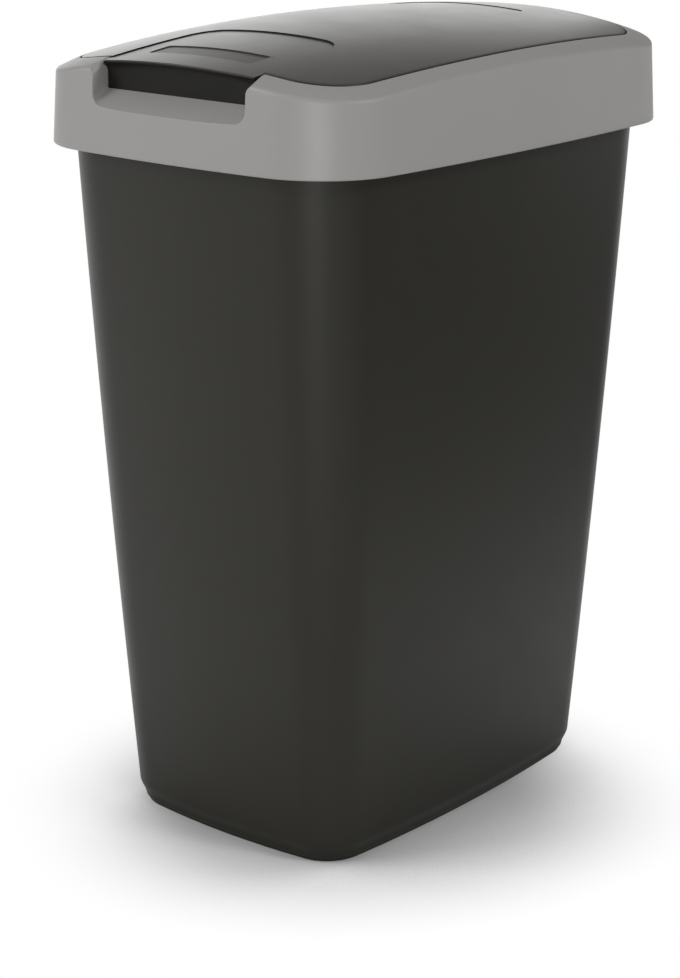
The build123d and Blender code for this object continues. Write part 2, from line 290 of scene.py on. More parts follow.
def loft(
    rings: Sequence[np.ndarray],
    closed: bool = False,
    start: Sequence[float] | None = None,
    stop: Sequence[float] | None = None,
) -> Surface:
    """Joins rows of points into one closed surface.

    Args:
        rings: Rows with the same number of points.
        closed: Whether the last row joins the first one.
        start: The pole that closes the first row.
        stop: The pole that closes the last row.
    """
    count, steps = len(rings), len(rings[0])
    points = list(np.vstack(rings))
    faces: list[tuple[int, ...]] = []
    for j in range(count if closed else count - 1):
        a, b = j * steps, ((j + 1) % count) * steps
        faces += [(a + i, a + (i + 1) % steps, b + (i + 1) % steps, b + i) for i in range(steps)]
    if start is not None:
        pole = len(points)
        points.append(np.asarray(start, float))
        faces += [(pole, (i + 1) % steps, i) for i in range(steps)]
    if stop is not None:
        pole, last = len(points), (count - 1) * steps
        points.append(np.asarray(stop, float))
        faces += [(pole, last + i, last + (i + 1) % steps) for i in range(steps)]
    return Surface(np.array(points), faces)


def sections(rows: Sequence[np.ndarray]) -> Surface:
    """Joins flat sections into a solid whose two ends are flat faces, with its faces turned outwards."""
    steps = len(rows[0])
    body = loft(rows)
    last = (len(rows) - 1) * steps
    body.faces.append(tuple(reversed(range(steps))))
    body.faces.append(tuple(range(last, last + steps)))
    return body.outwards()


def upright(plan: np.ndarray, low: float, high: float) -> Surface:
    """An upright solid over an outline, with flat ends."""
    return sections([ring(plan, level(low)), ring(plan, level(high))])


def block(low: Sequence[float], high: Sequence[float]) -> Surface:
    """A plain block between two opposite corners, which only cuts."""
    (x0, y0, z0), (x1, y1, z1) = low, high
    return upright(np.array([(x0, y0), (x1, y0), (x1, y1), (x0, y1)], float), z0, z1)


def set_out(name: str, data: bpy.types.ID) -> bpy.types.Object:
    """Puts a mesh, a lamp or a camera into the scene.

    Args:
        name: The object's name.
        data: What it shows.

    Returns:
        The object.
    """
    made = bpy.data.objects.new(name, data)
    bpy.context.scene.collection.objects.link(made)
    return made


def combined(name: str, base: bpy.types.Mesh, steps: Sequence[tuple[Join, bpy.types.Mesh]]) -> bpy.types.Mesh:
    """Adds, cuts and trims closed meshes one after another.

    Args:
        name: The name of the finished mesh.
        base: The mesh that the work starts from.
        steps: What happens to it, in order.

    Returns:
        A new mesh. The ones given are removed.
    """
    holder = set_out(name + "_base", base)
    tools = []
    for kind, mesh in steps:
        tool = set_out(mesh.name + "_tool", mesh)
        change = holder.modifiers.new(mesh.name, "BOOLEAN")
        change.operation = kind.value
        change.solver = "MANIFOLD"
        change.object = tool
        tools.append(tool)
    graph = bpy.context.evaluated_depsgraph_get()
    made = bpy.data.meshes.new_from_object(holder.evaluated_get(graph))
    made.name = name
    for thing in [holder, *tools]:
        mesh = thing.data
        bpy.data.objects.remove(thing)
        bpy.data.meshes.remove(mesh)
    return made


def joined(name: str, meshes: Sequence[bpy.types.Mesh]) -> bpy.types.Mesh:
    """Puts several closed meshes into one, side by side."""
    points, faces = [], []
    for mesh in meshes:
        shift = len(points)
        points += [tuple(v.co) for v in mesh.vertices]
        faces += [tuple(shift + i for i in p.vertices) for p in mesh.polygons]
        bpy.data.meshes.remove(mesh)
    made = bpy.data.meshes.new(name)
    made.from_pydata(points, [], faces)
    made.update()
    return made


def smooth(mesh: bpy.types.Mesh, sharp_from: float) -> None:
    """Merges what lies together and shades a mesh smoothly between its sharp edges.

    Args:
        mesh: The mesh to shade.
        sharp_from: The angle between faces, in degrees, from which an edge stays sharp.
    """
    work = bmesh.new()
    work.from_mesh(mesh)
    bmesh.ops.remove_doubles(work, verts=work.verts, dist=WELD)
    bmesh.ops.dissolve_degenerate(work, edges=work.edges, dist=SLIVER)
    limit = math.radians(sharp_from)
    for face in work.faces:
        face.smooth = True
    for edge in work.edges:
        edge.smooth = len(edge.link_faces) == 2 and edge.calc_face_angle(0.0) < limit
    work.to_mesh(mesh)
    work.free()


def placed(name: str, mesh: bpy.types.Mesh, body: Body, slot: str, *stands_for: str) -> bpy.types.Object:
    """Puts a finished mesh on its body and lets it stand for the plain solids.

    Args:
        name: The piece's name.
        mesh: The finished mesh, in the frame's own place.
        body: The body that it rides on.
        slot: The record's material slot; not used.
        stands_for: The nodes that it replaces.

    Returns:
        The piece.
    """
    piece = set_out(name, mesh)
    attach(piece, body.value)
    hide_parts(*stands_for)
    return piece


# Finishes


def maths(tree: bpy.types.NodeTree, kind: str, first: Value, second: Value) -> bpy.types.NodeSocket:
    """Works out one number from two.

    Args:
        tree: The node tree that it is worked out in.
        kind: Blender's name for the sum.
        first: The first number, or the socket that gives it.
        second: The second one.

    Returns:
        The socket with the result.
    """
    node = tree.nodes.new("ShaderNodeMath")
    node.operation = kind
    for socket, value in zip(node.inputs, (first, second)):
        if isinstance(value, bpy.types.NodeSocket):
            tree.links.new(value, socket)
        else:
            socket.default_value = value
    return node.outputs[0]


class MouldedSkin:
    """The shared node group that gives moulded plastic its grain, clouding and rubbed patches."""

    NAME = "Moulded skin"
    CLOUD_SCALE, CLOUD_DETAIL = 11.0, 3.0
    PATCH_SCALE, PATCH_DETAIL = 38.0, 4.0
    COARSE_SCALE, COARSE_DETAIL, COARSE_SHARE = 90.0, 2.0, 0.6
    GRAIN_DETAIL = 1.5

    @classmethod
    def group(cls) -> bpy.types.ShaderNodeTree:
        """Builds the group once.

        Returns:
            The group, which puts out a colour, a roughness and the height of a bump.
        """
        if cls.NAME in bpy.data.node_groups:
            return bpy.data.node_groups[cls.NAME]
        tree = bpy.data.node_groups.new(cls.NAME, "ShaderNodeTree")
        face = tree.interface
        for name, kind, default in (
            ("Colour", "NodeSocketColor", (0.5, 0.5, 0.5, 1)),
            ("Cloud", "NodeSocketFloat", 0.06),
            ("Roughness", "NodeSocketFloat", 0.4),
            ("Rub", "NodeSocketFloat", 0.04),
            ("Grain size", "NodeSocketFloat", 0.0008),
        ):
            face.new_socket(name, in_out="INPUT", socket_type=kind).default_value = default
        face.new_socket("Colour", in_out="OUTPUT", socket_type="NodeSocketColor")
        face.new_socket("Roughness", in_out="OUTPUT", socket_type="NodeSocketFloat")
        face.new_socket("Height", in_out="OUTPUT", socket_type="NodeSocketFloat")
        nodes, links = tree.nodes, tree.links
        given, out = nodes.new("NodeGroupInput"), nodes.new("NodeGroupOutput")
        place = nodes.new("ShaderNodeTexCoord")

        def noise(detail: float, scale: float = 1.0) -> bpy.types.Node:
            """Adds a noise that stays on the piece.

            Args:
                detail: How many finer waves lie on its waves.
                scale: Its waves to the metre, where no socket gives them.

            Returns:
                The node.
            """
            node = nodes.new("ShaderNodeTexNoise")
            node.inputs["Scale"].default_value = scale
            node.inputs["Detail"].default_value = detail
            links.new(place.outputs["Object"], node.inputs["Vector"])
            return node

        def swung(mean: Value, by: bpy.types.Node, reach: bpy.types.NodeSocket) -> bpy.types.NodeSocket:
            """Lets a number swing about its mean by up to a reach, as a noise does about a half."""
            part = maths(tree, "MULTIPLY", maths(tree, "SUBTRACT", by.outputs["Fac"], 0.5), reach)
            return maths(tree, "ADD", maths(tree, "MULTIPLY", part, 2.0), mean)

        gain = swung(1.0, noise(cls.CLOUD_DETAIL, cls.CLOUD_SCALE), given.outputs["Cloud"])
        tint = nodes.new("ShaderNodeMix")
        tint.data_type, tint.blend_type = "RGBA", "MULTIPLY"
        tint.inputs["Factor"].default_value = 1.0
        spread = nodes.new("ShaderNodeCombineColor")
        for channel in spread.inputs:
            links.new(gain, channel)
        colours = [s for s in tint.inputs if s.type == "RGBA"]
        links.new(given.outputs["Colour"], colours[0])
        links.new(spread.outputs["Color"], colours[1])
        links.new([s for s in tint.outputs if s.type == "RGBA"][0], out.inputs["Colour"])
        patches = noise(cls.PATCH_DETAIL, cls.PATCH_SCALE)
        rough = swung(given.outputs["Roughness"], patches, given.outputs["Rub"])
        links.new(rough, out.inputs["Roughness"])
        grain = noise(cls.GRAIN_DETAIL)
        links.new(maths(tree, "DIVIDE", 1.0, given.outputs["Grain size"]), grain.inputs["Scale"])
        waves = noise(cls.COARSE_DETAIL, cls.COARSE_SCALE)
        coarse = maths(tree, "MULTIPLY", waves.outputs["Fac"], cls.COARSE_SHARE)
        links.new(maths(tree, "ADD", grain.outputs["Fac"], coarse), out.inputs["Height"])
        return tree


@dataclass(frozen=True)
class PlasticFinish:
    """A moulded plastic finish."""

    name: str
    slot: str
    colour: tuple[float, float, float]
    specular: float
    roughness: float
    cloud: float
    rub: float
    grain_size: float
    grain_depth: float
    grain_strength: float
    ior: float = 1.49

    def material(self) -> bpy.types.Material:
        """Builds the material once.

        Returns:
            The material.
        """
        if self.name in bpy.data.materials:
            return bpy.data.materials[self.name]
        made = bpy.data.materials.new(self.name)
        made.use_nodes = True
        made.diffuse_color = (*self.colour, 1)
        nodes, links = made.node_tree.nodes, made.node_tree.links
        shader = nodes["Principled BSDF"]
        shader.inputs["IOR"].default_value = self.ior
        shader.inputs["Specular IOR Level"].default_value = self.specular
        skin = nodes.new("ShaderNodeGroup")
        skin.node_tree = MouldedSkin.group()
        skin.inputs["Colour"].default_value = (*self.colour, 1)
        skin.inputs["Cloud"].default_value = self.cloud
        skin.inputs["Roughness"].default_value = self.roughness
        skin.inputs["Rub"].default_value = self.rub
        skin.inputs["Grain size"].default_value = self.grain_size
        bump = nodes.new("ShaderNodeBump")
        bump.inputs["Strength"].default_value = self.grain_strength
        bump.inputs["Distance"].default_value = self.grain_depth
        links.new(skin.outputs["Colour"], shader.inputs["Base Color"])
        links.new(skin.outputs["Roughness"], shader.inputs["Roughness"])
        links.new(skin.outputs["Height"], bump.inputs["Height"])
        links.new(bump.outputs["Normal"], shader.inputs["Normal"])
        return made


BUCKET_PLASTIC = PlasticFinish(
    name="Bucket plastic",
    slot="bucket_plastic",
    colour=(0.0180, 0.0172, 0.0128),
    specular=0.22,
    roughness=0.40,
    cloud=0.10,
    rub=0.05,
    grain_size=0.0011,
    grain_depth=0.00002,
    grain_strength=0.35,
)
COLLAR_PLASTIC = PlasticFinish(
    name="Collar plastic",
    slot="collar_plastic",
    colour=(0.325, 0.315, 0.305),
    specular=0.5,
    roughness=0.44,
    cloud=0.025,
    rub=0.05,
    grain_size=0.0009,
    grain_depth=0.00002,
    grain_strength=0.35,
)
LID_PLASTIC = PlasticFinish(
    name="Lid plastic",
    slot="lid_plastic",
    colour=(0.0310, 0.0270, 0.0200),
    specular=0.5,
    roughness=0.34,
    cloud=0.06,
    rub=0.03,
    grain_size=0.0009,
    grain_depth=0.000012,
    grain_strength=0.25,
)
# Darker than the lid: its colour paints the shade under the lip, on the grip wall and in the seam along the
# lid's upright edges. Its higher roughness is real.
SHADED_GRIP_PLASTIC = PlasticFinish(
    name="Grip plastic",
    slot="lid_plastic",
    colour=(0.0080, 0.0076, 0.0060),
    specular=0.16,
    roughness=0.55,
    cloud=0.05,
    rub=0.03,
    grain_size=0.0006,
    grain_depth=0.00003,
    grain_strength=0.5,
)
# Darker than the lid and with less specular: it paints the shade that the finger rest's level floor shows
# against the forward-tilted panel.
SHADED_REST_PLASTIC = PlasticFinish(
    name="Rest plastic",
    slot="lid_plastic",
    colour=(0.0250, 0.0225, 0.0175),
    specular=0.32,
    roughness=0.40,
    cloud=0.05,
    rub=0.03,
    grain_size=0.0006,
    grain_depth=0.00002,
    grain_strength=0.35,
)
PIN_PLASTIC = PlasticFinish(
    name="Pin plastic",
    slot="pin_plastic",
    colour=(0.030, 0.030, 0.030),
    specular=0.5,
    roughness=0.38,
    cloud=0.08,
    rub=0.05,
    grain_size=0.0004,
    grain_depth=0.00001,
    grain_strength=0.3,
)


# Bucket


@dataclass
class Bucket:
    """The tapered bucket with its recessed foot band and the rim that the collar sits on."""

    height: float = 463.0
    top: Outline = field(default_factory=lambda: Outline(231.6, -172.3, 172.3, 44.9, 6.9))
    base: Outline = field(default_factory=lambda: Outline(191.4, -140.3, 140.3, 31.5, 6.9))
    bulge: float = 1.5
    wall: float = 2.3
    foot_height: float = 8.0
    foot_inset: float = 3.0
    foot_profile: tuple[tuple[float, float], ...] = (
        (7.0, 0.0),
        (5.4, 0.15),
        (4.8, 0.7),
        (4.6, 1.6),
        (4.55, 2.6),
        (4.1, 2.8),
        (3.5, 3.1),
        (3.15, 3.6),
        (2.98, 4.3),
        (2.75, 5.4),
        (2.35, 7.0),
        (1.75, 8.7),
        (1.1, 10.4),
        (0.55, 12.0),
        (0.15, 13.4),
        (0.0, 14.6),
    )
    floor_thickness: float = 2.6
    floor_round: float = 4.0
    pocket_depth: float = 1.4
    pocket_inset: float = 14.0
    rim: Outline = field(default_factory=lambda: Outline(250.524, -178.162, 178.162, 49.562, 8.3))
    rim_thickness: float = 2.4
    rim_depth: float = 10.0
    rim_edge: float = 0.8
    rim_root: float = 0.4
    rim_foot: float = 0.5
    rim_clear: float = 1.2
    wall_clear: float = 1.5
    mouth_clear: float = 2.0
    step_rise: float = 0.5
    step_start: float = 0.2
    step_brink: float = 0.3
    step_fall: float = 0.4
    disc_shares: tuple[float, ...] = (0.25, 0.5, 0.75)
    wall_rows: int = 26
    sharp_from: float = 40.0

    def wall_tree(self) -> bpy.types.GeometryNodeTree:
        """Builds the tree that draws the tapered, slightly barrelled wall between foot and rim.

        Returns:
            A tree with named inputs for the heights, the bulge and the finish.
        """
        tree = bpy.data.node_groups.new("Tapered wall", "GeometryNodeTree")
        face = tree.interface
        face.new_socket("Geometry", in_out="INPUT", socket_type="NodeSocketGeometry")
        for name, value in (
            ("Foot height", self.foot_height * MM),
            ("Rim height", self.height * MM),
            ("Bulge", self.bulge * MM),
        ):
            face.new_socket(name, in_out="INPUT", socket_type="NodeSocketFloat").default_value = value
        face.new_socket("Finish", in_out="INPUT", socket_type="NodeSocketMaterial")
        face.new_socket("Geometry", in_out="OUTPUT", socket_type="NodeSocketGeometry")
        nodes, links = tree.nodes, tree.links
        given, out = nodes.new("NodeGroupInput"), nodes.new("NodeGroupOutput")

        def read(name: str, kind: str) -> bpy.types.NodeSocket:
            """Reads what is written on the mesh's points.

            Args:
                name: The name that it is written under.
                kind: Blender's name for its type.

            Returns:
                The socket that gives it.
            """
            node = nodes.new("GeometryNodeInputNamedAttribute")
            node.data_type = kind
            node.inputs["Name"].default_value = name
            return node.outputs["Attribute"]

        def vectors(
            kind: str, first: bpy.types.NodeSocket, second: bpy.types.NodeSocket
        ) -> bpy.types.NodeSocket:
            """Adds a vector to another, or scales it by a number.

            Args:
                kind: ADD or SCALE.
                first: The socket with the vector.
                second: The socket with what it is added to or scaled by.

            Returns:
                The socket with the result.
            """
            node = nodes.new("ShaderNodeVectorMath")
            node.operation = kind
            links.new(first, node.inputs[0])
            links.new(second, node.inputs["Scale" if kind == "SCALE" else 1])
            return node.outputs["Vector"]

        share = read("share", "FLOAT")
        foot, rim, outward = (read(name, "FLOAT_VECTOR") for name in ("at_foot", "at_rim", "outward"))
        rest = maths(tree, "SUBTRACT", 1.0, share)
        swell = maths(tree, "MULTIPLY", given.outputs["Bulge"], 4.0)
        barrel = maths(tree, "MULTIPLY", maths(tree, "MULTIPLY", share, rest), swell)
        plan = vectors("ADD", vectors("SCALE", foot, rest), vectors("SCALE", rim, share))
        swollen = vectors("ADD", plan, vectors("SCALE", outward, barrel))
        span = maths(tree, "SUBTRACT", given.outputs["Rim height"], given.outputs["Foot height"])
        climbed = maths(tree, "MULTIPLY", span, share)
        lift = nodes.new("ShaderNodeCombineXYZ")
        links.new(maths(tree, "ADD", climbed, given.outputs["Foot height"]), lift.inputs["Z"])
        place = nodes.new("GeometryNodeSetPosition")
        links.new(given.outputs["Geometry"], place.inputs["Geometry"])
        links.new(read("on_wall", "BOOLEAN"), place.inputs["Selection"])
        links.new(vectors("ADD", swollen, lift.outputs["Vector"]), place.inputs["Position"])
        realize = nodes.new("GeometryNodeRealizeInstances")
        finish = nodes.new("GeometryNodeSetMaterial")
        links.new(place.outputs["Geometry"], realize.inputs["Geometry"])
        links.new(realize.outputs["Geometry"], finish.inputs["Geometry"])
        links.new(given.outputs["Finish"], finish.inputs["Material"])
        links.new(finish.outputs["Geometry"], out.inputs["Geometry"])
        return tree

    def share_at(self, height: float) -> float:
        """A height's share of the way from foot to rim."""
        return (height - self.foot_height) / (self.height - self.foot_height)

    def wall_plan(self, share: float, inset: float) -> np.ndarray:
        """The wall's outline without its bulge, at a share of the way from foot to rim."""
        low, high = self.base.drawn_in(inset).points(), self.top.drawn_in(inset).points()
        return low + (high - low) * share

    def barrelled(self, height: float, inset: float) -> np.ndarray:
        """The wall's outline with its bulge at a height."""
        share = self.share_at(height)
        return let_out(self.wall_plan(share, inset), 4 * self.bulge * share * (1 - share))

    def rows(self) -> tuple[list[np.ndarray], list[Mark]]:
        """Every row of points from the underside up the outside, over the rim and down to the floor.

        Returns:
            The rows, and for each its share of the wall and its inset, or None off the wall.
        """
        found: list[np.ndarray] = []
        marks: list[Mark] = []

        def put(plan: np.ndarray, z: float, mark: Mark = None) -> None:
            """Adds a level row with its mark."""
            found.append(ring(plan, level(z)))
            marks.append(mark)

        foot = self.base.drawn_in(self.foot_inset)
        pocket = foot.drawn_in(self.pocket_inset)
        for share in self.disc_shares:
            put(towards(pocket.points(), (0, 0), share), self.pocket_depth)
        put(pocket.points(), self.pocket_depth)
        put(pocket.points(), 0.0)
        for inset, z in self.foot_profile:
            put(self.barrelled(max(z, self.foot_height), inset), z)
        under = self.height - self.rim_thickness
        low, high = self.foot_profile[-1][1] + self.wall_clear, under - self.rim_clear
        for share in np.linspace(self.share_at(low), self.share_at(high), self.wall_rows):
            put(self.wall_plan(share, 0.0), 0.0, (share, 0.0))
        put(self.barrelled(under, 0.0), under - self.rim_root)
        put(self.barrelled(under, -self.rim_root), under)
        lip = self.rim.drawn_in(self.rim_thickness)
        put(lip.drawn_in(self.rim_root).points(), under)
        put(lip.points(), under - self.rim_root)
        drop = self.height - self.rim_depth
        put(lip.points(), drop + self.rim_foot)
        put(lip.drawn_in(-self.rim_foot).points(), drop)
        put(self.rim.drawn_in(self.rim_foot).points(), drop)
        put(self.rim.points(), drop + self.rim_foot)
        for angle in turns(0, 90, EDGE_POINTS):
            inset = self.rim_edge * (1 - math.cos(angle))
            put(self.rim.drawn_in(inset).points(), self.height - self.rim_edge * (1 - math.sin(angle)))
        for angle in turns(0, 90, EDGE_POINTS):
            inset = self.wall - self.rim_edge * (1 - math.sin(angle))
            z = self.height - self.rim_edge * (1 - math.cos(angle))
            put(self.barrelled(z, inset), z)
        bottom = self.foot_height + self.floor_thickness
        low, high = bottom + self.wall_clear, self.height - self.mouth_clear
        for share in np.linspace(self.share_at(high), self.share_at(low), self.wall_rows):
            put(self.wall_plan(share, self.wall), 0.0, (share, self.wall))
        put(self.barrelled(bottom + self.step_rise, self.wall + self.step_start), bottom)
        inner = self.base.drawn_in(self.foot_inset + self.wall)
        put(inner.drawn_in(-self.step_brink).points(), bottom)
        put(inner.points(), bottom - self.step_fall)
        floor = self.pocket_depth + self.floor_thickness
        for angle in turns(0, 90, ROUND_POINTS):
            inset = self.floor_round * (1 - math.cos(angle))
            put(inner.drawn_in(inset).points(), floor + self.floor_round * (1 - math.sin(angle)))
        for share in reversed(self.disc_shares):
            put(towards(inner.drawn_in(self.floor_round).points(), (0, 0), share), floor)
        return found, marks

    def build(self, finish: PlasticFinish) -> bpy.types.Object:
        """Builds the bucket and puts it on its body.

        Args:
            finish: The finish of the plastic.

        Returns:
            The finished piece.
        """
        rows, marks = self.rows()
        floor = self.pocket_depth + self.floor_thickness
        body = loft(rows, start=(0, 0, self.pocket_depth), stop=(0, 0, floor))
        mesh = body.mesh("bucket_rows")
        steps, count = len(rows[0]), len(body.points)
        share, on_wall = np.zeros(count, np.float32), np.zeros(count, bool)
        vectors = {name: np.zeros((count, 3), np.float32) for name in ("at_foot", "at_rim", "outward")}
        for j, mark in enumerate(marks):
            if mark is None:
                continue
            span = slice(j * steps, (j + 1) * steps)
            plan = self.wall_plan(mark[0], mark[1])
            share[span], on_wall[span] = mark[0], True
            vectors["at_foot"][span, :2] = self.base.drawn_in(mark[1]).points() * MM
            vectors["at_rim"][span, :2] = self.top.drawn_in(mark[1]).points() * MM
            vectors["outward"][span, :2] = let_out(plan, 1.0) - plan
        mesh.attributes.new("share", "FLOAT", "POINT").data.foreach_set("value", share)
        mesh.attributes.new("on_wall", "BOOLEAN", "POINT").data.foreach_set("value", on_wall)
        for name, values in vectors.items():
            mesh.attributes.new(name, "FLOAT_VECTOR", "POINT").data.foreach_set("vector", values.ravel())
        source = set_out("bucket_source", mesh)
        wall = source.modifiers.new("Tapered wall", "NODES")
        wall.node_group = self.wall_tree()
        for item in wall.node_group.interface.items_tree:
            if item.item_type == "SOCKET" and item.in_out == "INPUT" and item.name == "Finish":
                wall[item.identifier] = finish.material()
        graph = bpy.context.evaluated_depsgraph_get()
        made = bpy.data.meshes.new_from_object(source.evaluated_get(graph))
        made.name = "bucket_shell"
        bpy.data.objects.remove(source)
        bpy.data.meshes.remove(mesh)
        for name in ("share", "on_wall", *vectors):
            made.attributes.remove(made.attributes[name])
        smooth(made, self.sharp_from)
        return placed("bucket_shell", made, Body.BUCKET, finish.slot, "bucket")


# Collar


@dataclass
class Collar:
    """The grey frame over the bucket's rim, with the grip notch, the ledge and the hinge brackets."""

    crown: Crown = field(default_factory=Crown)
    foot: float = 437.3
    outline: Outline = field(default_factory=lambda: Outline(259.2, -182.5, 182.5, 53.9, 8.3))
    opening: Outline = field(default_factory=lambda: Outline(229.2, -165.4, 161.37, 38.4, 7.8))
    plug: Outline = field(default_factory=lambda: Outline(225.304, -168.942, 168.942, 41.764, 6.9))
    draft: float = 4.0
    wall: float = 2.4
    shoulder: float = 3.2
    strip_fall: float = 3.5
    strip_curve: float = 1.15
    edge: float = 0.8
    opening_edge: float = 0.6
    mouth_wall: float = 2.0
    seat: float = 463.3
    seat_thickness: float = 2.0
    plug_foot: float = 455.0
    ledge_width: float = 4.0
    ledge_drop: float = 4.3
    ledge_thickness: float = 2.0
    ledge_rear: float = 135.3
    notch_width: float = 120.0
    notch_front: float = -180.278
    notch_end: float = -163.8
    notch_floor_front: float = 464.5
    notch_floor_end: float = 476.547
    notch_corner: float = 8.0
    notch_inner_corner: float = 1.5
    notch_step: float = 0.7
    notch_wall: float = 2.2
    flare_front: float = 5.5
    flare_rear: float = 1.0
    slot_front: float = -166.6
    slot_end: float = -158.6
    slot_foot: float = 470.4
    slot_top: float = 520.0
    run_in: float = 12.0
    strip_rows: int = 5
    plug_edge: float = 0.6
    ledge_bite: float = 1.0
    past: tuple[float, float, float] = (200.0, 250.0, 600.0)
    sharp_from: float = 30.0

    def sides(self, inset: float) -> tuple[np.ndarray, np.ndarray]:
        """The outline drawn in by an inset, and how it moves for each millimetre more."""
        near = self.outline.drawn_in(inset).points()
        return near, (self.outline.drawn_in(inset + self.run_in).points() - near) / self.run_in

    def strip(self, plan: np.ndarray, inset: float) -> np.ndarray:
        """A row on the top strip, which falls away from the crown between the opening and the shoulder.

        Args:
            plan: Places in plan, in step with the opening's own points.
            inset: How far the form is drawn in from the collar's outside.
        """
        brink = self.opening.points()
        run = np.linalg.norm(self.outline.drawn_in(inset).points() - brink, axis=1)
        share = np.clip(np.linalg.norm(plan - brink, axis=1) / run, 0, 1)
        fall = self.strip_fall * share**self.strip_curve
        return ring(plan, lambda x, y: self.crown.height(x, y, inset) - fall)

    def form(self, inset: float, rounding: float) -> list[np.ndarray]:
        """Rows up the drafted skirt and round the shoulder.

        Args:
            inset: How far the form is drawn in from the collar's outside.
            rounding: The radius of the shoulder.

        Returns:
            The rows, from the foot to where the shoulder meets the crown.
        """
        near, inward = self.sides(inset)
        lean = self.draft / (self.crown.top - self.foot)
        start = self.strip(near, inset)[:, 2]
        slope = self.strip(near + inward, inset)[:, 2] - start
        tilt, pitch = math.sqrt(1 + lean**2), np.sqrt(1 + slope**2)
        s = (rounding * tilt + lean * (start - rounding * pitch - self.foot)) / (1 - lean * slope)
        z = start + slope * s - rounding * pitch
        first, last = math.pi - math.atan(lean), math.pi / 2 + np.arctan(slope)
        rows = []
        low = z + rounding * math.sin(first)
        for share in (0.0, 0.06, 0.3, 0.6, 0.9):
            height = self.foot + (low - self.foot) * share
            rows.append(np.column_stack([near + inward * (lean * (height - self.foot))[:, None], height]))
        for share in np.linspace(0, 1, 9):
            angle = first + (last - first) * share
            plan = near + inward * (s + rounding * np.cos(angle))[:, None]
            rows.append(np.column_stack([plan, z + rounding * np.sin(angle)]))
        return rows

    def solid_form(self, inset: float, rounding: float) -> Surface:
        """The whole collar as a filled body, drawn in by an inset."""
        rows = self.form(inset, rounding)
        edge, brink = rows[-1][:, :2], self.opening.points()
        for share in np.linspace(1 / self.strip_rows, 1, self.strip_rows):
            rows.append(self.strip(edge + (brink - edge) * share, inset))
        for share in np.linspace(0.96, 0.04, 22):
            rows.append(ring(towards(brink, (0, 0), share), self.crown.lowered(inset)))
        return loft(rows, start=(0, 0, self.foot), stop=(0, 0, self.crown.at(0.0, 0.0, inset)))

    def ring_surface(self) -> Surface:
        """The frame without its notch: skirt, top strip and mouth wall in one closed band."""
        outer, inner = self.form(0.0, self.shoulder), self.form(self.wall, self.shoulder - self.wall)
        near, inward = self.sides(0.0)
        lean = math.atan(self.draft / (self.crown.top - self.foot))
        centre = self.edge * (1 + math.sin(lean)) / math.cos(lean)
        rows = [inner[0]]
        for angle in np.linspace(0, math.pi / 2 + lean, ROUND_POINTS):
            plan = near + inward * (centre - self.edge * math.sin(angle))
            rows.append(ring(plan, level(self.foot + self.edge * (1 - math.cos(angle)))))
        rows += outer[1:]
        edge = outer[-1][:, :2]
        lip = self.opening.drawn_in(-self.opening_edge).points()
        for share in np.linspace(1 / self.strip_rows, 1, self.strip_rows):
            rows.append(self.strip(edge + (lip - edge) * share, 0.0))
        for angle in turns(22.5, 90, EDGE_POINTS):
            plan = self.opening.drawn_in(-self.opening_edge * (1 - math.sin(angle))).points()
            rows.append(self.strip(plan, 0.0) - (0, 0, self.opening_edge * (1 - math.cos(angle))))
        hole, mouth = self.opening.points(), self.opening.drawn_in(-self.mouth_wall).points()
        middle = self.seat + self.seat_thickness / 2
        down = (self.crown.lowered(4.0), level(middle + 10), level(middle))
        rows += [ring(hole, surface) for surface in down]
        rows += [ring(mouth, level(middle)), self.strip(mouth, self.wall)]
        rows.append(self.strip(mouth + (inner[-1][:, :2] - mouth) * 0.5, self.wall))
        rows += inner[:0:-1]
        return loft(rows, closed=True)

    def seat_plate(self) -> bpy.types.Mesh:
        """The flat plate that sits on the bucket's rim and joins the mouth wall to the plug."""
        top = self.seat + self.seat_thickness
        mouth = upright(self.opening.drawn_in(-self.mouth_wall).points(), self.seat, top)
        bore = upright(self.opening.points(), self.seat - 5, top + 5)
        limit = upright(self.plug.drawn_in(self.mouth_wall).points(), 0, self.past[2])
        trim = [(Join.KEEP_COMMON, limit.mesh("hole_in_plug"))]
        hole = combined("seat_hole", bore.mesh("hole_in_mouth"), trim)
        plug = upright(self.plug.points(), self.seat, top)
        steps = [(Join.ADD, plug.mesh("seat_plug")), (Join.CUT, hole)]
        return combined("seat", mouth.mesh("seat_mouth"), steps)

    def plug_ring(self) -> Surface:
        """The ring that reaches into the bucket's mouth."""
        foot, top = self.plug_foot, self.seat + self.seat_thickness / 2
        rows = [
            (self.mouth_wall, top),
            (self.mouth_wall, foot + self.plug_edge),
            (self.mouth_wall - self.plug_edge, foot),
            (self.plug_edge, foot),
            (0.0, foot + self.plug_edge),
            (0.0, top),
        ]
        return loft([ring(self.plug.drawn_in(inset).points(), level(z)) for inset, z in rows], closed=True)

    def ledge(self) -> Surface:
        """The ledge that the lid's edge rests on."""
        outer = self.opening.drawn_in(-self.ledge_bite).points()
        inner = self.opening.drawn_in(self.ledge_width).points()
        low = self.crown.lowered(self.ledge_drop + self.ledge_thickness)
        high = self.crown.lowered(self.ledge_drop)
        return loft([ring(inner, low), ring(outer, low), ring(outer, high), ring(inner, high)], closed=True)

    def u_section(self, y: float, floor: float, corner: float, grow: float) -> np.ndarray:
        """The notch seen from the front, with rounded lower corners."""
        half, top = self.notch_width / 2 + grow, self.crown.top + 1
        plan = rounded_polygon(
            [(-half, top), (-half, floor - grow), (half, floor - grow), (half, top)],
            [0, corner + grow, corner + grow, 0],
        )
        return np.column_stack([plan[:, 0], np.full(len(plan), y), plan[:, 1]])

    def notch(self, grow: float) -> Surface:
        """The notch whose floor climbs to the grip wall, or the channel round it."""
        front = self.u_section(self.notch_front, self.notch_floor_front, self.notch_corner, grow)
        rear = self.u_section(self.notch_end, self.notch_floor_end, self.notch_inner_corner, grow)
        return sections([front + (rear - front) * share for share in np.linspace(0, 1, 9)])

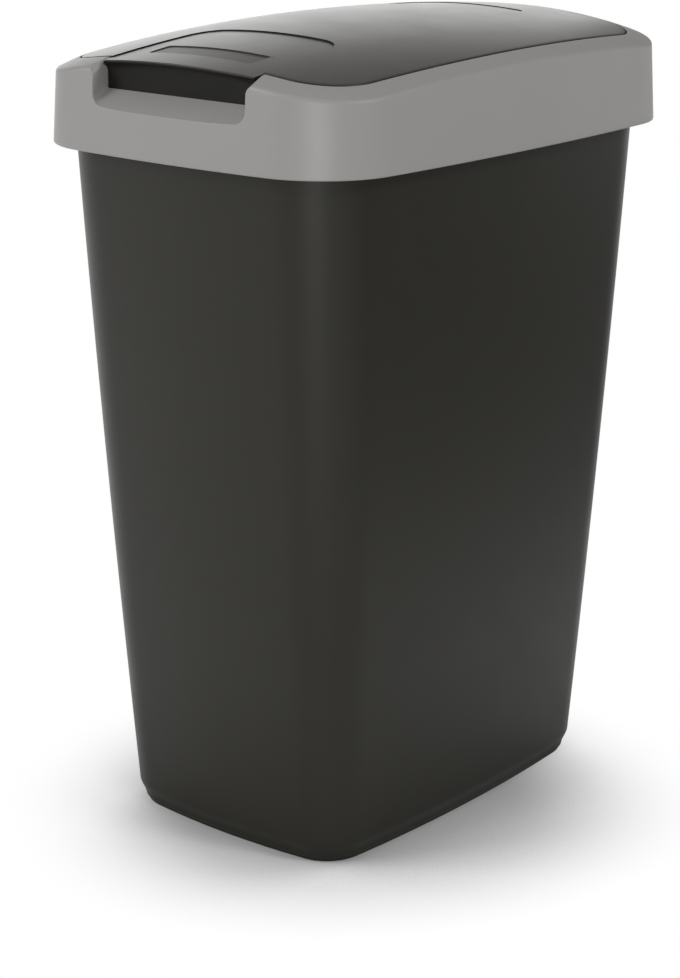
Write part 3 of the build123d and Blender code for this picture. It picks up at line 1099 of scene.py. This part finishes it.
    def notch_mouth(self) -> Surface:
        """The prism in front of the notch."""
        front = self.u_section(self.notch_front, self.notch_floor_front, self.notch_corner, 0.0)
        return sections([front - (0, 8, 0), front])

    def flare(self, side: int) -> Surface:
        """What rounds off the notch's top edge on one side, more at the front than at the lid."""
        rows = []
        inner = self.notch_width / 2
        narrowing = (self.flare_front - self.flare_rear) / (self.slot_end - self.notch_front)
        front, brink = self.notch_front, self.opening.front
        for y in (front, (front + brink) / 2, brink, self.slot_end):
            reach = self.flare_front - narrowing * (y - front)
            share = max(0.0, (y - brink) / (front - brink))
            top = self.crown.at(inner + reach, y) - self.strip_fall * share**self.strip_curve
            angles = turns(180, 90, 10)
            across, up = inner + reach * (1 + np.cos(angles)), top - reach * (1 - np.sin(angles))
            arc = np.column_stack([across, up])
            over = self.crown.top + 1
            plan = np.vstack([arc, [(inner + reach, over), (0, over), (0, top - reach)]])
            rows.append(np.column_stack([side * plan[:, 0], np.full(len(plan), y), plan[:, 1]]))
        return sections(rows)

    def build(self, hinge: "Hinge", finish: PlasticFinish) -> bpy.types.Object:
        """Builds the collar with its notch, ledge and hinge brackets.

        Args:
            hinge: The hinge whose plates stand on the collar.
            finish: The finish of the plastic.

        Returns:
            The finished piece.
        """
        half = self.notch_width / 2
        channel = combined(
            "channel",
            self.notch(self.notch_wall).mesh("channel_block"),
            [(Join.KEEP_COMMON, self.solid_form(0.5, self.shoulder - 0.5).mesh("channel_limit"))],
        )
        ledge = combined(
            "ledge",
            self.ledge().mesh("ledge_ring"),
            [(Join.CUT, block((-self.past[0], self.ledge_rear, 400), self.past).mesh("ledge_end"))],
        )
        step = combined(
            "step",
            self.notch_mouth().mesh("step_block"),
            [(Join.CUT, self.solid_form(self.notch_step, self.shoulder).mesh("step_limit"))],
        )
        slot = block((-half, self.slot_front, self.slot_foot), (half, self.slot_end, self.slot_top))
        body = combined(
            "collar_body",
            self.ring_surface().mesh("collar_ring"),
            [
                (Join.ADD, self.seat_plate()),
                (Join.ADD, self.plug_ring().mesh("plug_ring")),
                (Join.ADD, channel),
                (Join.ADD, ledge),
                (Join.CUT, step),
                (Join.CUT, self.notch(0.0).mesh("notch")),
                (Join.CUT, self.flare(1).mesh("flare_right")),
                (Join.CUT, self.flare(-1).mesh("flare_left")),
                (Join.CUT, slot.mesh("grip_slot")),
            ],
        )
        made = joined("collar_frame", [body, *hinge.plates(self)])
        made.materials.append(finish.material())
        smooth(made, self.sharp_from)
        return placed("collar_frame", made, Body.COLLAR, finish.slot, "collar")


# Hinge


@dataclass
class Hinge:
    """The two hinge points under the rear of the lid."""

    y: float = 141.3
    z: float = 496.067
    spacing: float = 73.0
    knuckle_width: float = 6.0
    knuckle_radius: float = 3.8
    side_gap: float = 0.5
    plate_width: float = 3.0
    eye_radius: float = 3.5
    plate_lean: float = 4.5
    swing: float = 20.070
    swing_gap: float = 0.2
    hole_radius: float = 2.05

    def eye(self, radius: float, start: float, stop: float) -> list[tuple[float, float]]:
        """Part of a circle round the hinge line, from one angle to another, in degrees."""
        return [
            (self.y + radius * math.cos(a), self.z + radius * math.sin(a)) for a in turns(start, stop, 25)
        ]

    def slab(
        self, name: str, profile: Sequence[tuple[float, float]], x: float, width: float
    ) -> bpy.types.Mesh:
        """An upright slab with a hole for the pin.

        Args:
            name: The mesh's name.
            profile: Its side view, as places along the bin and heights.
            x: The middle of its width.
            width: How wide it is.

        Returns:
            The slab's mesh.
        """
        plan = np.array(profile)
        rows = [np.column_stack([np.full(len(plan), x + d), plan]) for d in (-width / 2, width / 2)]
        hole = np.array(self.eye(self.hole_radius, 0, 345))
        bore = [np.column_stack([np.full(len(hole), x + d), hole]) for d in (-width, width)]
        cut = [(Join.CUT, sections(bore).mesh(name + "_bore"))]
        return combined(name, sections(rows).mesh(name + "_slab"), cut)

    def plates(self, collar: Collar) -> list[bpy.types.Mesh]:
        """The four plates that stand on the collar's rear wall.

        Args:
            collar: The collar that carries them.
        """
        rear = collar.opening.rear + collar.mouth_wall / 2
        foot = self.z - self.swing - self.swing_gap
        front = self.y - self.eye_radius
        profile = [
            *self.eye(self.eye_radius, 0, 180),
            (front - self.plate_lean, foot),
            (front - self.plate_lean, collar.seat + 0.5),
            (rear, collar.seat + 0.5),
            (rear, foot),
            (self.y + self.eye_radius - self.plate_lean, foot),
        ]
        offset = (self.knuckle_width + self.plate_width) / 2 + self.side_gap
        return [
            self.slab(f"plate_{i}", profile, side * self.spacing / 2 + step, self.plate_width)
            for i, (side, step) in enumerate((s, t) for s in (-1, 1) for t in (-offset, offset))
        ]

    def knuckles(self, crown: Crown, drop: float) -> list[bpy.types.Mesh]:
        """The lid's two knuckles.

        Args:
            crown: The curve of the lid's top.
            drop: How far below it the knuckles end.
        """
        found = []
        for i, side in enumerate((-1, 1)):
            x = side * self.spacing / 2
            top = crown.at(x, self.y, drop)
            profile = [
                *self.eye(self.knuckle_radius, 180, 360),
                (self.y + self.knuckle_radius, top),
                (self.y - self.knuckle_radius, top),
            ]
            found.append(self.slab(f"knuckle_{i}", profile, x, self.knuckle_width))
        return found


# Lid


class LidFinish(Enum):
    """The lid's finishes, by their place among its materials; the grip's and the rest's are darkened with
    painted shade.
    """

    GRIP = 1
    REST = 2


@dataclass
class Lid:
    """The crowned lid with its lip and grip wall, sunk panel, finger rest and blank pad."""

    crown: Crown = field(default_factory=Crown)
    outline: Outline = field(default_factory=lambda: Outline(226.8, -164.2, 160.1, 37.2, 7.8))
    thickness: float = 2.2
    rim: float = 4.0
    edge: float = 0.7
    lip_half: float = 59.0
    lip_reach: float = 9.4
    lip_bow: float = 4.0
    lip_thickness: float = 1.9
    lip_nose: float = 0.8
    lip_root: float = 5.0
    grip_front: float = -166.0
    grip_thickness: float = 2.2
    grip_foot: float = 471.0
    panel_depth: float = 0.8
    panel_half_front: float = 60.0
    panel_half_rear: float = 54.5
    panel_length: float = 80.0
    panel_corner: float = 17.0
    rest_half: float = 40.0
    rest_length: float = 19.0
    rest_setback: float = 12.5
    rest_corner: float = 2.5
    rest_depth: float = 0.6
    rest_skin: float = 1.4
    pad_half: float = 43.0
    pad_length: float = 38.0
    pad_corner: float = 6.0
    pad_sink: float = 0.5
    pad_setback: float = 47.0
    rim_free_half: float = 50.0
    rim_free_front: float = 150.7
    rim_free_rear: float = 175.0
    rim_free_low: float = 450.0
    cut_height: float = 4.0
    pitch: float = 4.0
    sharp_from: float = 30.0

    def shell(self) -> Surface:
        """The crowned shell with its short rim and rounded top edge."""
        centre = (0.0, (self.outline.front + self.outline.rear) / 2)
        under = self.outline.drawn_in(self.thickness).points()
        rows = [
            ring(towards(under, centre, share), self.crown.lowered(self.thickness))
            for share in np.linspace(0.04, 0.999, 18)
        ]
        rows.append(ring(under, self.crown.lowered(self.rim)))
        rows.append(ring(self.outline.drawn_in(0.3).points(), self.crown.lowered(self.rim)))
        rows.append(ring(self.outline.points(), self.crown.lowered(self.rim - 0.3)))
        for angle in np.radians(np.linspace(0, 90, 6)):
            plan = self.outline.drawn_in(self.edge * (1 - math.cos(angle))).points()
            rows.append(ring(plan, self.crown.lowered(self.edge * (1 - math.sin(angle)))))
        edge = self.outline.drawn_in(self.edge).points()
        for share in np.linspace(0.985, 0.03, 34):
            rows.append(ring(towards(edge, centre, share), self.crown.lowered(0.0)))
        low, high = self.crown.at(*centre, self.thickness), self.crown.at(*centre)
        return loft(rows, start=(*centre, low), stop=(*centre, high))

    def pocket(self, plan: np.ndarray, floor: Heights, brink: Heights, lip: float) -> Surface:
        """A shallow pocket to cut, with a rounded brink.

        Args:
            plan: The pocket's outline, anticlockwise.
            floor: The surface of its floor.
            brink: The surface that its brink rounds into.
            lip: The radius of the brink.
        """
        centre = plan.mean(0)
        rows = [ring(towards(plan, centre, share), floor) for share in np.linspace(0.06, 0.995, 14)]
        rows.append(ring(plan, lambda x, y: np.minimum(floor(x, y) + 0.1, brink(x, y) - lip)))
        for angle in np.radians(np.linspace(0, 72, 4)):
            out = let_out(plan, lip * (1 - math.cos(angle)))
            drop = lip * (1 - math.sin(angle))
            rows.append(ring(out, lambda x, y, d=drop: brink(x, y) - d))
        rows.append(ring(let_out(plan, lip), lambda x, y: brink(x, y) + 4))
        low = floor(centre[:1], centre[1:])[0]
        return loft(rows, start=(*centre, low), stop=(*centre, self.crown.top + 6))

    def panel_plan(self) -> np.ndarray:
        """The sunk panel's outline, open past the lip."""
        front, rear = self.outline.front - self.lip_reach - 2, self.outline.front + self.panel_length
        return rounded_polygon(
            [
                (-self.panel_half_front, front),
                (self.panel_half_front, front),
                (self.panel_half_rear, rear),
                (-self.panel_half_rear, rear),
            ],
            [0, 0, self.panel_corner, self.panel_corner],
            self.pitch,
        )

    def box_plan(self, half: float, front: float, rear: float, corner: float) -> np.ndarray:
        """A rectangle with rounded corners."""
        corners = [(-half, front), (half, front), (half, rear), (-half, rear)]
        return rounded_polygon(corners, [corner] * 4, self.pitch)

    def lip(self) -> Surface:
        """The overhanging lip with the grip wall below it."""
        rows = []
        radius = bow_radius(self.lip_half, self.lip_bow)
        front = self.outline.front - self.lip_reach
        seam = bow_radius(self.outline.width / 2 - self.outline.bow, self.outline.bow)
        rear = self.grip_front + self.grip_thickness
        for x in np.linspace(-self.lip_half, self.lip_half, 49):
            nose = front + radius - math.sqrt(radius**2 - x**2)
            join = self.outline.front + seam - math.sqrt(seam**2 - x**2) + 0.02

            def top(y: float, drop: float = 0.0) -> float:
                """The height below the panel's floor, in this section."""
                return self.crown.at(x, y, self.panel_depth + drop)

            r, middle, root = self.lip_nose, nose + self.lip_nose, self.grip_front - self.lip_root
            profile = []
            for a in np.radians(np.linspace(90, 180, 6)):
                profile.append((middle + r * math.cos(a), top(middle) - r + r * math.sin(a)))
            for a in np.radians(np.linspace(180, 270, 6)):
                base = top(middle, self.lip_thickness) + r
                profile.append((middle + r * math.cos(a), base + r * math.sin(a)))
            under = top(root, self.lip_thickness) - self.lip_root
            for a in np.radians(np.linspace(90, 0, 9)):
                profile.append((root + self.lip_root * math.cos(a), under + self.lip_root * math.sin(a)))
            foot = self.grip_foot
            profile += [
                (self.grip_front, foot + 0.4),
                (self.grip_front + 0.4, foot),
                (rear - 0.4, foot),
                (rear, foot + 0.4),
                (rear, top(rear, self.lip_thickness)),
                (join + 6, top(join + 6, 1.3)),
                (join + 6, top(join + 6, 0.6)),
                (join, top(join, 0.6)),
            ]
            for y in np.linspace(join, middle, 6)[:-1]:
                profile.append((y, top(y)))
            rows.append(np.array([(x, y, z) for y, z in profile]))
        return sections(rows)

    def paint_shade(self, mesh: bpy.types.Mesh) -> None:
        """Gives the coarser finish to the grip wall, the lip's underside and all upright edges; its dark
        colour is painted shade.

        Args:
            mesh: The lid's mesh, whose finger rest gets a darker finish of its own, painted shade.
        """
        behind = (self.grip_front + self.grip_thickness + 0.1) * MM
        rest_front = (self.outline.front + self.rest_setback) * MM
        rest_rear = rest_front + (self.rest_length + 0.1) * MM
        # The darker finishes given here paint the shade on the finger rest, under the lip and along upright
        # edges.
        for face in mesh.polygons:
            x, y, _ = face.center
            if face.normal.z > -0.5 and abs(x) < (self.rest_half + 0.1) * MM and rest_front < y < rest_rear:
                face.material_index = LidFinish.REST.value
            elif face.normal.z < 0.4 and (y < behind or face.normal.z > -0.5):
                face.material_index = LidFinish.GRIP.value

    def build(self, hinge: Hinge, finishes: Sequence[PlasticFinish]) -> bpy.types.Object:
        """Builds the lid with all that is on it.

        Args:
            hinge: The hinge whose knuckles hang below the lid.
            finishes: The plain finish, the coarser one of grip and edges darkened with painted shade, and the
                finger rest's, darkened with painted shade.

        Returns:
            The finished piece.
        """
        front = self.outline.front
        rest_front = front + self.rest_setback
        rest_rear = rest_front + self.rest_length
        rest_drop = self.panel_depth + self.rest_depth
        rest_floor = self.crown.lowered(rest_drop)
        rest_under = self.crown.lowered(rest_drop + self.rest_skin)
        pad_rear = self.outline.rear - self.pad_setback
        rest = self.box_plan(self.rest_half, rest_front, rest_rear, self.rest_corner)
        boss = self.box_plan(
            self.rest_half + self.rest_skin,
            rest_front - self.rest_skin,
            rest_rear + self.rest_skin,
            self.rest_corner + self.rest_skin,
        )
        pad = self.box_plan(self.pad_half, pad_rear - self.pad_length, pad_rear, self.pad_corner)
        free = self.box_plan(self.rim_free_half, self.rim_free_front, self.rim_free_rear, 0.5)
        floor, above = self.crown.lowered(self.panel_depth), self.crown.lowered(-self.cut_height)
        within, skin = self.crown.lowered(self.thickness / 2), self.crown.lowered(self.thickness + 0.05)
        sunk = self.pocket(pad, self.crown.lowered(self.pad_sink), self.crown.lowered(0.0), 0.15)
        cuts = [
            (Join.ADD, self.prism(boss, rest_under, within).mesh("boss")),
            (Join.CUT, self.prism(free, level(self.rim_free_low), skin).mesh("rim_free")),
            (Join.CUT, self.prism(self.panel_plan(), floor, above).mesh("panel")),
            (Join.CUT, self.prism(rest, rest_floor, above).mesh("rest")),
            (Join.CUT, sunk.mesh("pad")),
        ]
        body = combined("lid_body", self.shell().mesh("lid_blank"), cuts)
        made = joined(
            "lid_shell", [body, self.lip().mesh("lip"), *hinge.knuckles(self.crown, self.thickness / 2)]
        )
        for finish in finishes:
            made.materials.append(finish.material())
        smooth(made, self.sharp_from)
        self.paint_shade(made)
        return placed("lid_shell", made, Body.LID, finishes[0].slot, "lid")

    def prism(self, plan: np.ndarray, low: Heights, high: Heights) -> Surface:
        """An upright solid over an outline, between two surfaces."""
        centre = plan.mean(0)
        rows = [ring(towards(plan, centre, share), low) for share in np.linspace(0.1, 1, 8)]
        rows += [ring(towards(plan, centre, share), high) for share in np.linspace(1, 0.1, 8)]
        ends = [surface(centre[:1], centre[1:])[0] for surface in (low, high)]
        return loft(rows, start=(*centre, ends[0]), stop=(*centre, ends[1]))


# Studio


@dataclass(frozen=True)
class Lamp:
    """A large soft lamp that looks at the bin, with its sizes in metres and its power in watts."""

    name: str
    place: tuple[float, float, float]
    width: float
    height: float
    power: float
    aim: tuple[float, float, float] = (0.0, 0.0, 0.27)

    def hang(self) -> None:
        """Makes the lamp and turns it to its aim."""
        data = bpy.data.lights.new(self.name, "AREA")
        data.shape, data.size, data.size_y, data.energy = "RECTANGLE", self.width, self.height, self.power
        place = Vector(self.place)
        turn = (Vector(self.aim) - place).to_track_quat("-Z", "Y").to_matrix().to_4x4()
        set_out(self.name, data).matrix_world = Matrix.Translation(place) @ turn


@dataclass
class Studio:
    """The pale floor, the soft light and the camera at the photograph's angle, in metres."""

    azimuth: float = 39.607
    elevation: float = 17.023
    roll: float = 0.205
    distance: float = 1.62954
    target: tuple[float, float, float] = (-0.017744, 0.0, 0.195962)
    lens: float = 90.419
    floor_seen: tuple[float, float, float] = (0.70, 0.70, 0.71)
    # The floor's glow makes it white to the camera and also shines in the bin's reflections, a painted
    # reflection.
    floor_glow: tuple[float, float, float] = (0.72, 0.72, 0.72)
    # How far and how strongly ambient occlusion dims the floor's glow: a painted contact shadow.
    painted_shadow_reach: float = 0.20
    painted_shadow_from: float = 0.58
    floor_lit: tuple[float, float, float] = (0.40, 0.40, 0.40)
    fade_centre: tuple[float, float] = (0.05, -0.06)
    fade_from: float = 0.10
    fade_to: float = 0.26
    # Where the floor, seen only in reflections, turns dark: a painted reflection that darkens the bucket's
    # right face.
    shade_centre: tuple[float, float] = (1.3, 1.3)
    shade_from: float = 0.85
    shade_to: float = 1.75
    ambient: float = 0.36
    sensor: float = 36.0
    floor_rings: tuple[float, ...] = (0.2, 0.45, 0.8, 1.4, 2.4, 6.0, 14.0)
    floor_steps: int = 48
    lamps: tuple[Lamp, ...] = (
        Lamp("key_lamp", (-1.6, -2.0, 1.45), 1.3, 1.2, 29.0),
        Lamp("strip_lamp", (1.5, -2.1, 0.40), 0.8, 0.8, 18.0),
        Lamp("back_lamp", (1.0, 2.4, 0.5), 1.0, 0.8, 1.5),
        Lamp("lid_lamp", (-2.2, 1.85, 0.82), 2.3, 1.35, 17.0),
        Lamp("side_lamp", (2.0, 0.2, 1.6), 0.5, 0.5, 14.0),
    )

    def camera(self) -> None:
        """Makes the scene's camera."""
        a, e = math.radians(self.azimuth), math.radians(self.elevation)
        back = Vector((math.sin(a) * math.cos(e), -math.cos(a) * math.cos(e), math.sin(e)))
        data = bpy.data.cameras.new("camera")
        data.sensor_fit, data.sensor_width, data.lens = "AUTO", self.sensor, self.lens
        made = set_out("camera", data)
        turn = (-back).to_track_quat("-Z", "Y").to_matrix().to_4x4()
        roll = Matrix.Rotation(math.radians(self.roll), 4, "Z")
        made.matrix_world = Matrix.Translation(Vector(self.target) + back * self.distance) @ turn @ roll
        bpy.context.scene.camera = made

    def floor(self) -> None:
        """Makes the floor, which turns to plain white away from the bin. Near the bin its glow is dimmed by
        ambient occlusion, a painted contact shadow. Seen in reflections it glows, with a darker patch towards
        the rear right, a painted reflection.
        """
        rings, steps = self.floor_rings, self.floor_steps
        points = [(0.0, 0.0, 0.0)]
        for radius in rings:
            for i in range(steps):
                turn = 2 * math.pi * i / steps
                points.append((radius * math.cos(turn), radius * math.sin(turn), 0.0))
        faces = [(0, 1 + i, 1 + (i + 1) % steps) for i in range(steps)]
        for j in range(len(rings) - 1):
            a, b = 1 + j * steps, 1 + (j + 1) * steps
            faces += [(a + i, b + i, b + (i + 1) % steps, a + (i + 1) % steps) for i in range(steps)]
        mesh = bpy.data.meshes.new("floor")
        mesh.from_pydata(points, [], faces)
        made = set_out("floor", mesh)
        paper = bpy.data.materials.new("Pale paper")
        paper.use_nodes = True
        nodes, links = paper.node_tree.nodes, paper.node_tree.links
        paper_seen, out = nodes["Principled BSDF"], nodes["Material Output"]
        paper_lit = nodes.new("ShaderNodeBsdfPrincipled")
        for shader, colour in ((paper_seen, self.floor_seen), (paper_lit, self.floor_lit)):
            shader.inputs["Base Color"].default_value = (*colour, 1)
            shader.inputs["Roughness"].default_value = 0.9
            shader.inputs["Specular IOR Level"].default_value = 0.0
        paper_seen.inputs["Emission Color"].default_value = (*self.floor_glow, 1)
        # Ambient occlusion dims the floor's glow near the bin: a painted contact shadow.
        nearness, painted_contact_shadow = nodes.new("ShaderNodeAmbientOcclusion"), nodes.new("ShaderNodeMapRange")
        nearness.samples = 8
        nearness.inputs["Distance"].default_value = self.painted_shadow_reach
        painted_contact_shadow.inputs["From Min"].default_value = self.painted_shadow_from
        painted_contact_shadow.inputs["From Max"].default_value = 1.0
        links.new(nearness.outputs["AO"], painted_contact_shadow.inputs["Value"])
        links.new(painted_contact_shadow.outputs["Result"], paper_seen.inputs["Emission Strength"])
        place = nodes.new("ShaderNodeTexCoord")

        def ramp(centre: tuple[float, float], start: float, stop: float) -> bpy.types.NodeSocket:
            """Rises softly with the distance from a centre.

            Args:
                centre: Where on the floor it is centred.
                start: The distance up to which it is 0.
                stop: The distance from which it is 1.

            Returns:
                The socket that gives it.
            """
            away, share = nodes.new("ShaderNodeVectorMath"), nodes.new("ShaderNodeMapRange")
            away.operation, share.interpolation_type = "DISTANCE", "SMOOTHSTEP"
            away.inputs[1].default_value = (*centre, 0.0)
            share.inputs["From Min"].default_value = start
            share.inputs["From Max"].default_value = stop
            links.new(place.outputs["Object"], away.inputs[0])
            links.new(away.outputs["Value"], share.inputs["Value"])
            return share.outputs["Result"]

        def mixed(
            share: bpy.types.NodeSocket, first: bpy.types.Node, second: bpy.types.Node
        ) -> bpy.types.Node:
            """Goes from one shader to another.

            Args:
                share: The second one's share.
                first: The first shader.
                second: The second one.

            Returns:
                The node that mixes them.
            """
            mix = nodes.new("ShaderNodeMixShader")
            links.new(share, mix.inputs["Fac"])
            links.new(first.outputs[0], mix.inputs[1])
            links.new(second.outputs[0], mix.inputs[2])
            return mix

        seen, white = nodes.new("ShaderNodeLightPath"), nodes.new("ShaderNodeEmission")
        faded = mixed(ramp(self.fade_centre, self.fade_from, self.fade_to), paper_seen, white)
        # Seen in reflections the floor glows, but it is dark round the shade centre: a painted reflection on
        # the bucket.
        painted_reflection = mixed(ramp(self.shade_centre, self.shade_from, self.shade_to), paper_lit, paper_seen)
        lit = mixed(seen.outputs["Is Glossy Ray"], paper_lit, painted_reflection)
        links.new(mixed(seen.outputs["Is Camera Ray"], lit, faded).outputs[0], out.inputs["Surface"])
        mesh.materials.append(paper)

    def surroundings(self) -> None:
        """Fills the world with even white light, white where the camera sees it."""
        world = bpy.data.worlds.new("studio")
        world.use_nodes = True
        nodes, links = world.node_tree.nodes, world.node_tree.links
        light, out = nodes["Background"], nodes["World Output"]
        light.inputs["Color"].default_value = WHITE
        light.inputs["Strength"].default_value = self.ambient
        seen, white, mix = (
            nodes.new("ShaderNodeLightPath"),
            nodes.new("ShaderNodeBackground"),
            nodes.new("ShaderNodeMixShader"),
        )
        white.inputs["Color"].default_value = WHITE
        links.new(seen.outputs["Is Camera Ray"], mix.inputs["Fac"])
        links.new(light.outputs["Background"], mix.inputs[1])
        links.new(white.outputs["Background"], mix.inputs[2])
        links.new(mix.outputs["Shader"], out.inputs["Surface"])
        bpy.context.scene.world = world

    def build(self) -> None:
        """Sets up floor, lamps, surroundings and camera."""
        bpy.context.scene.view_settings.view_transform = "Standard"
        self.floor()
        self.surroundings()
        for lamp in self.lamps:
            lamp.hang()
        self.camera()
        LOG.info("studio ready")


def dress_pins(finish: PlasticFinish) -> None:
    """Gives the hinge pins, which keep their own solids, their moulded finish."""
    for name in ("hinge_pin_left", "hinge_pin_right"):
        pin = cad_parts[name]
        pin.data.materials.clear()
        pin.data.materials.append(finish.material())
        LOG.info("%s keeps its solid", name)


def main() -> None:
    """Builds the bin and its studio."""
    logging.basicConfig(level=logging.INFO, format="%(name)s: %(message)s")
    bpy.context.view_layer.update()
    hinge = Hinge()
    pieces = [
        Bucket().build(BUCKET_PLASTIC),
        Collar().build(hinge, COLLAR_PLASTIC),
        Lid().build(hinge, (LID_PLASTIC, SHADED_GRIP_PLASTIC, SHADED_REST_PLASTIC)),
    ]
    for piece in pieces:
        LOG.info("%s: %d faces", piece.name, len(piece.data.polygons))
    dress_pins(PIN_PLASTIC)
    Studio().build()


if __name__ == "__main__":
    main()
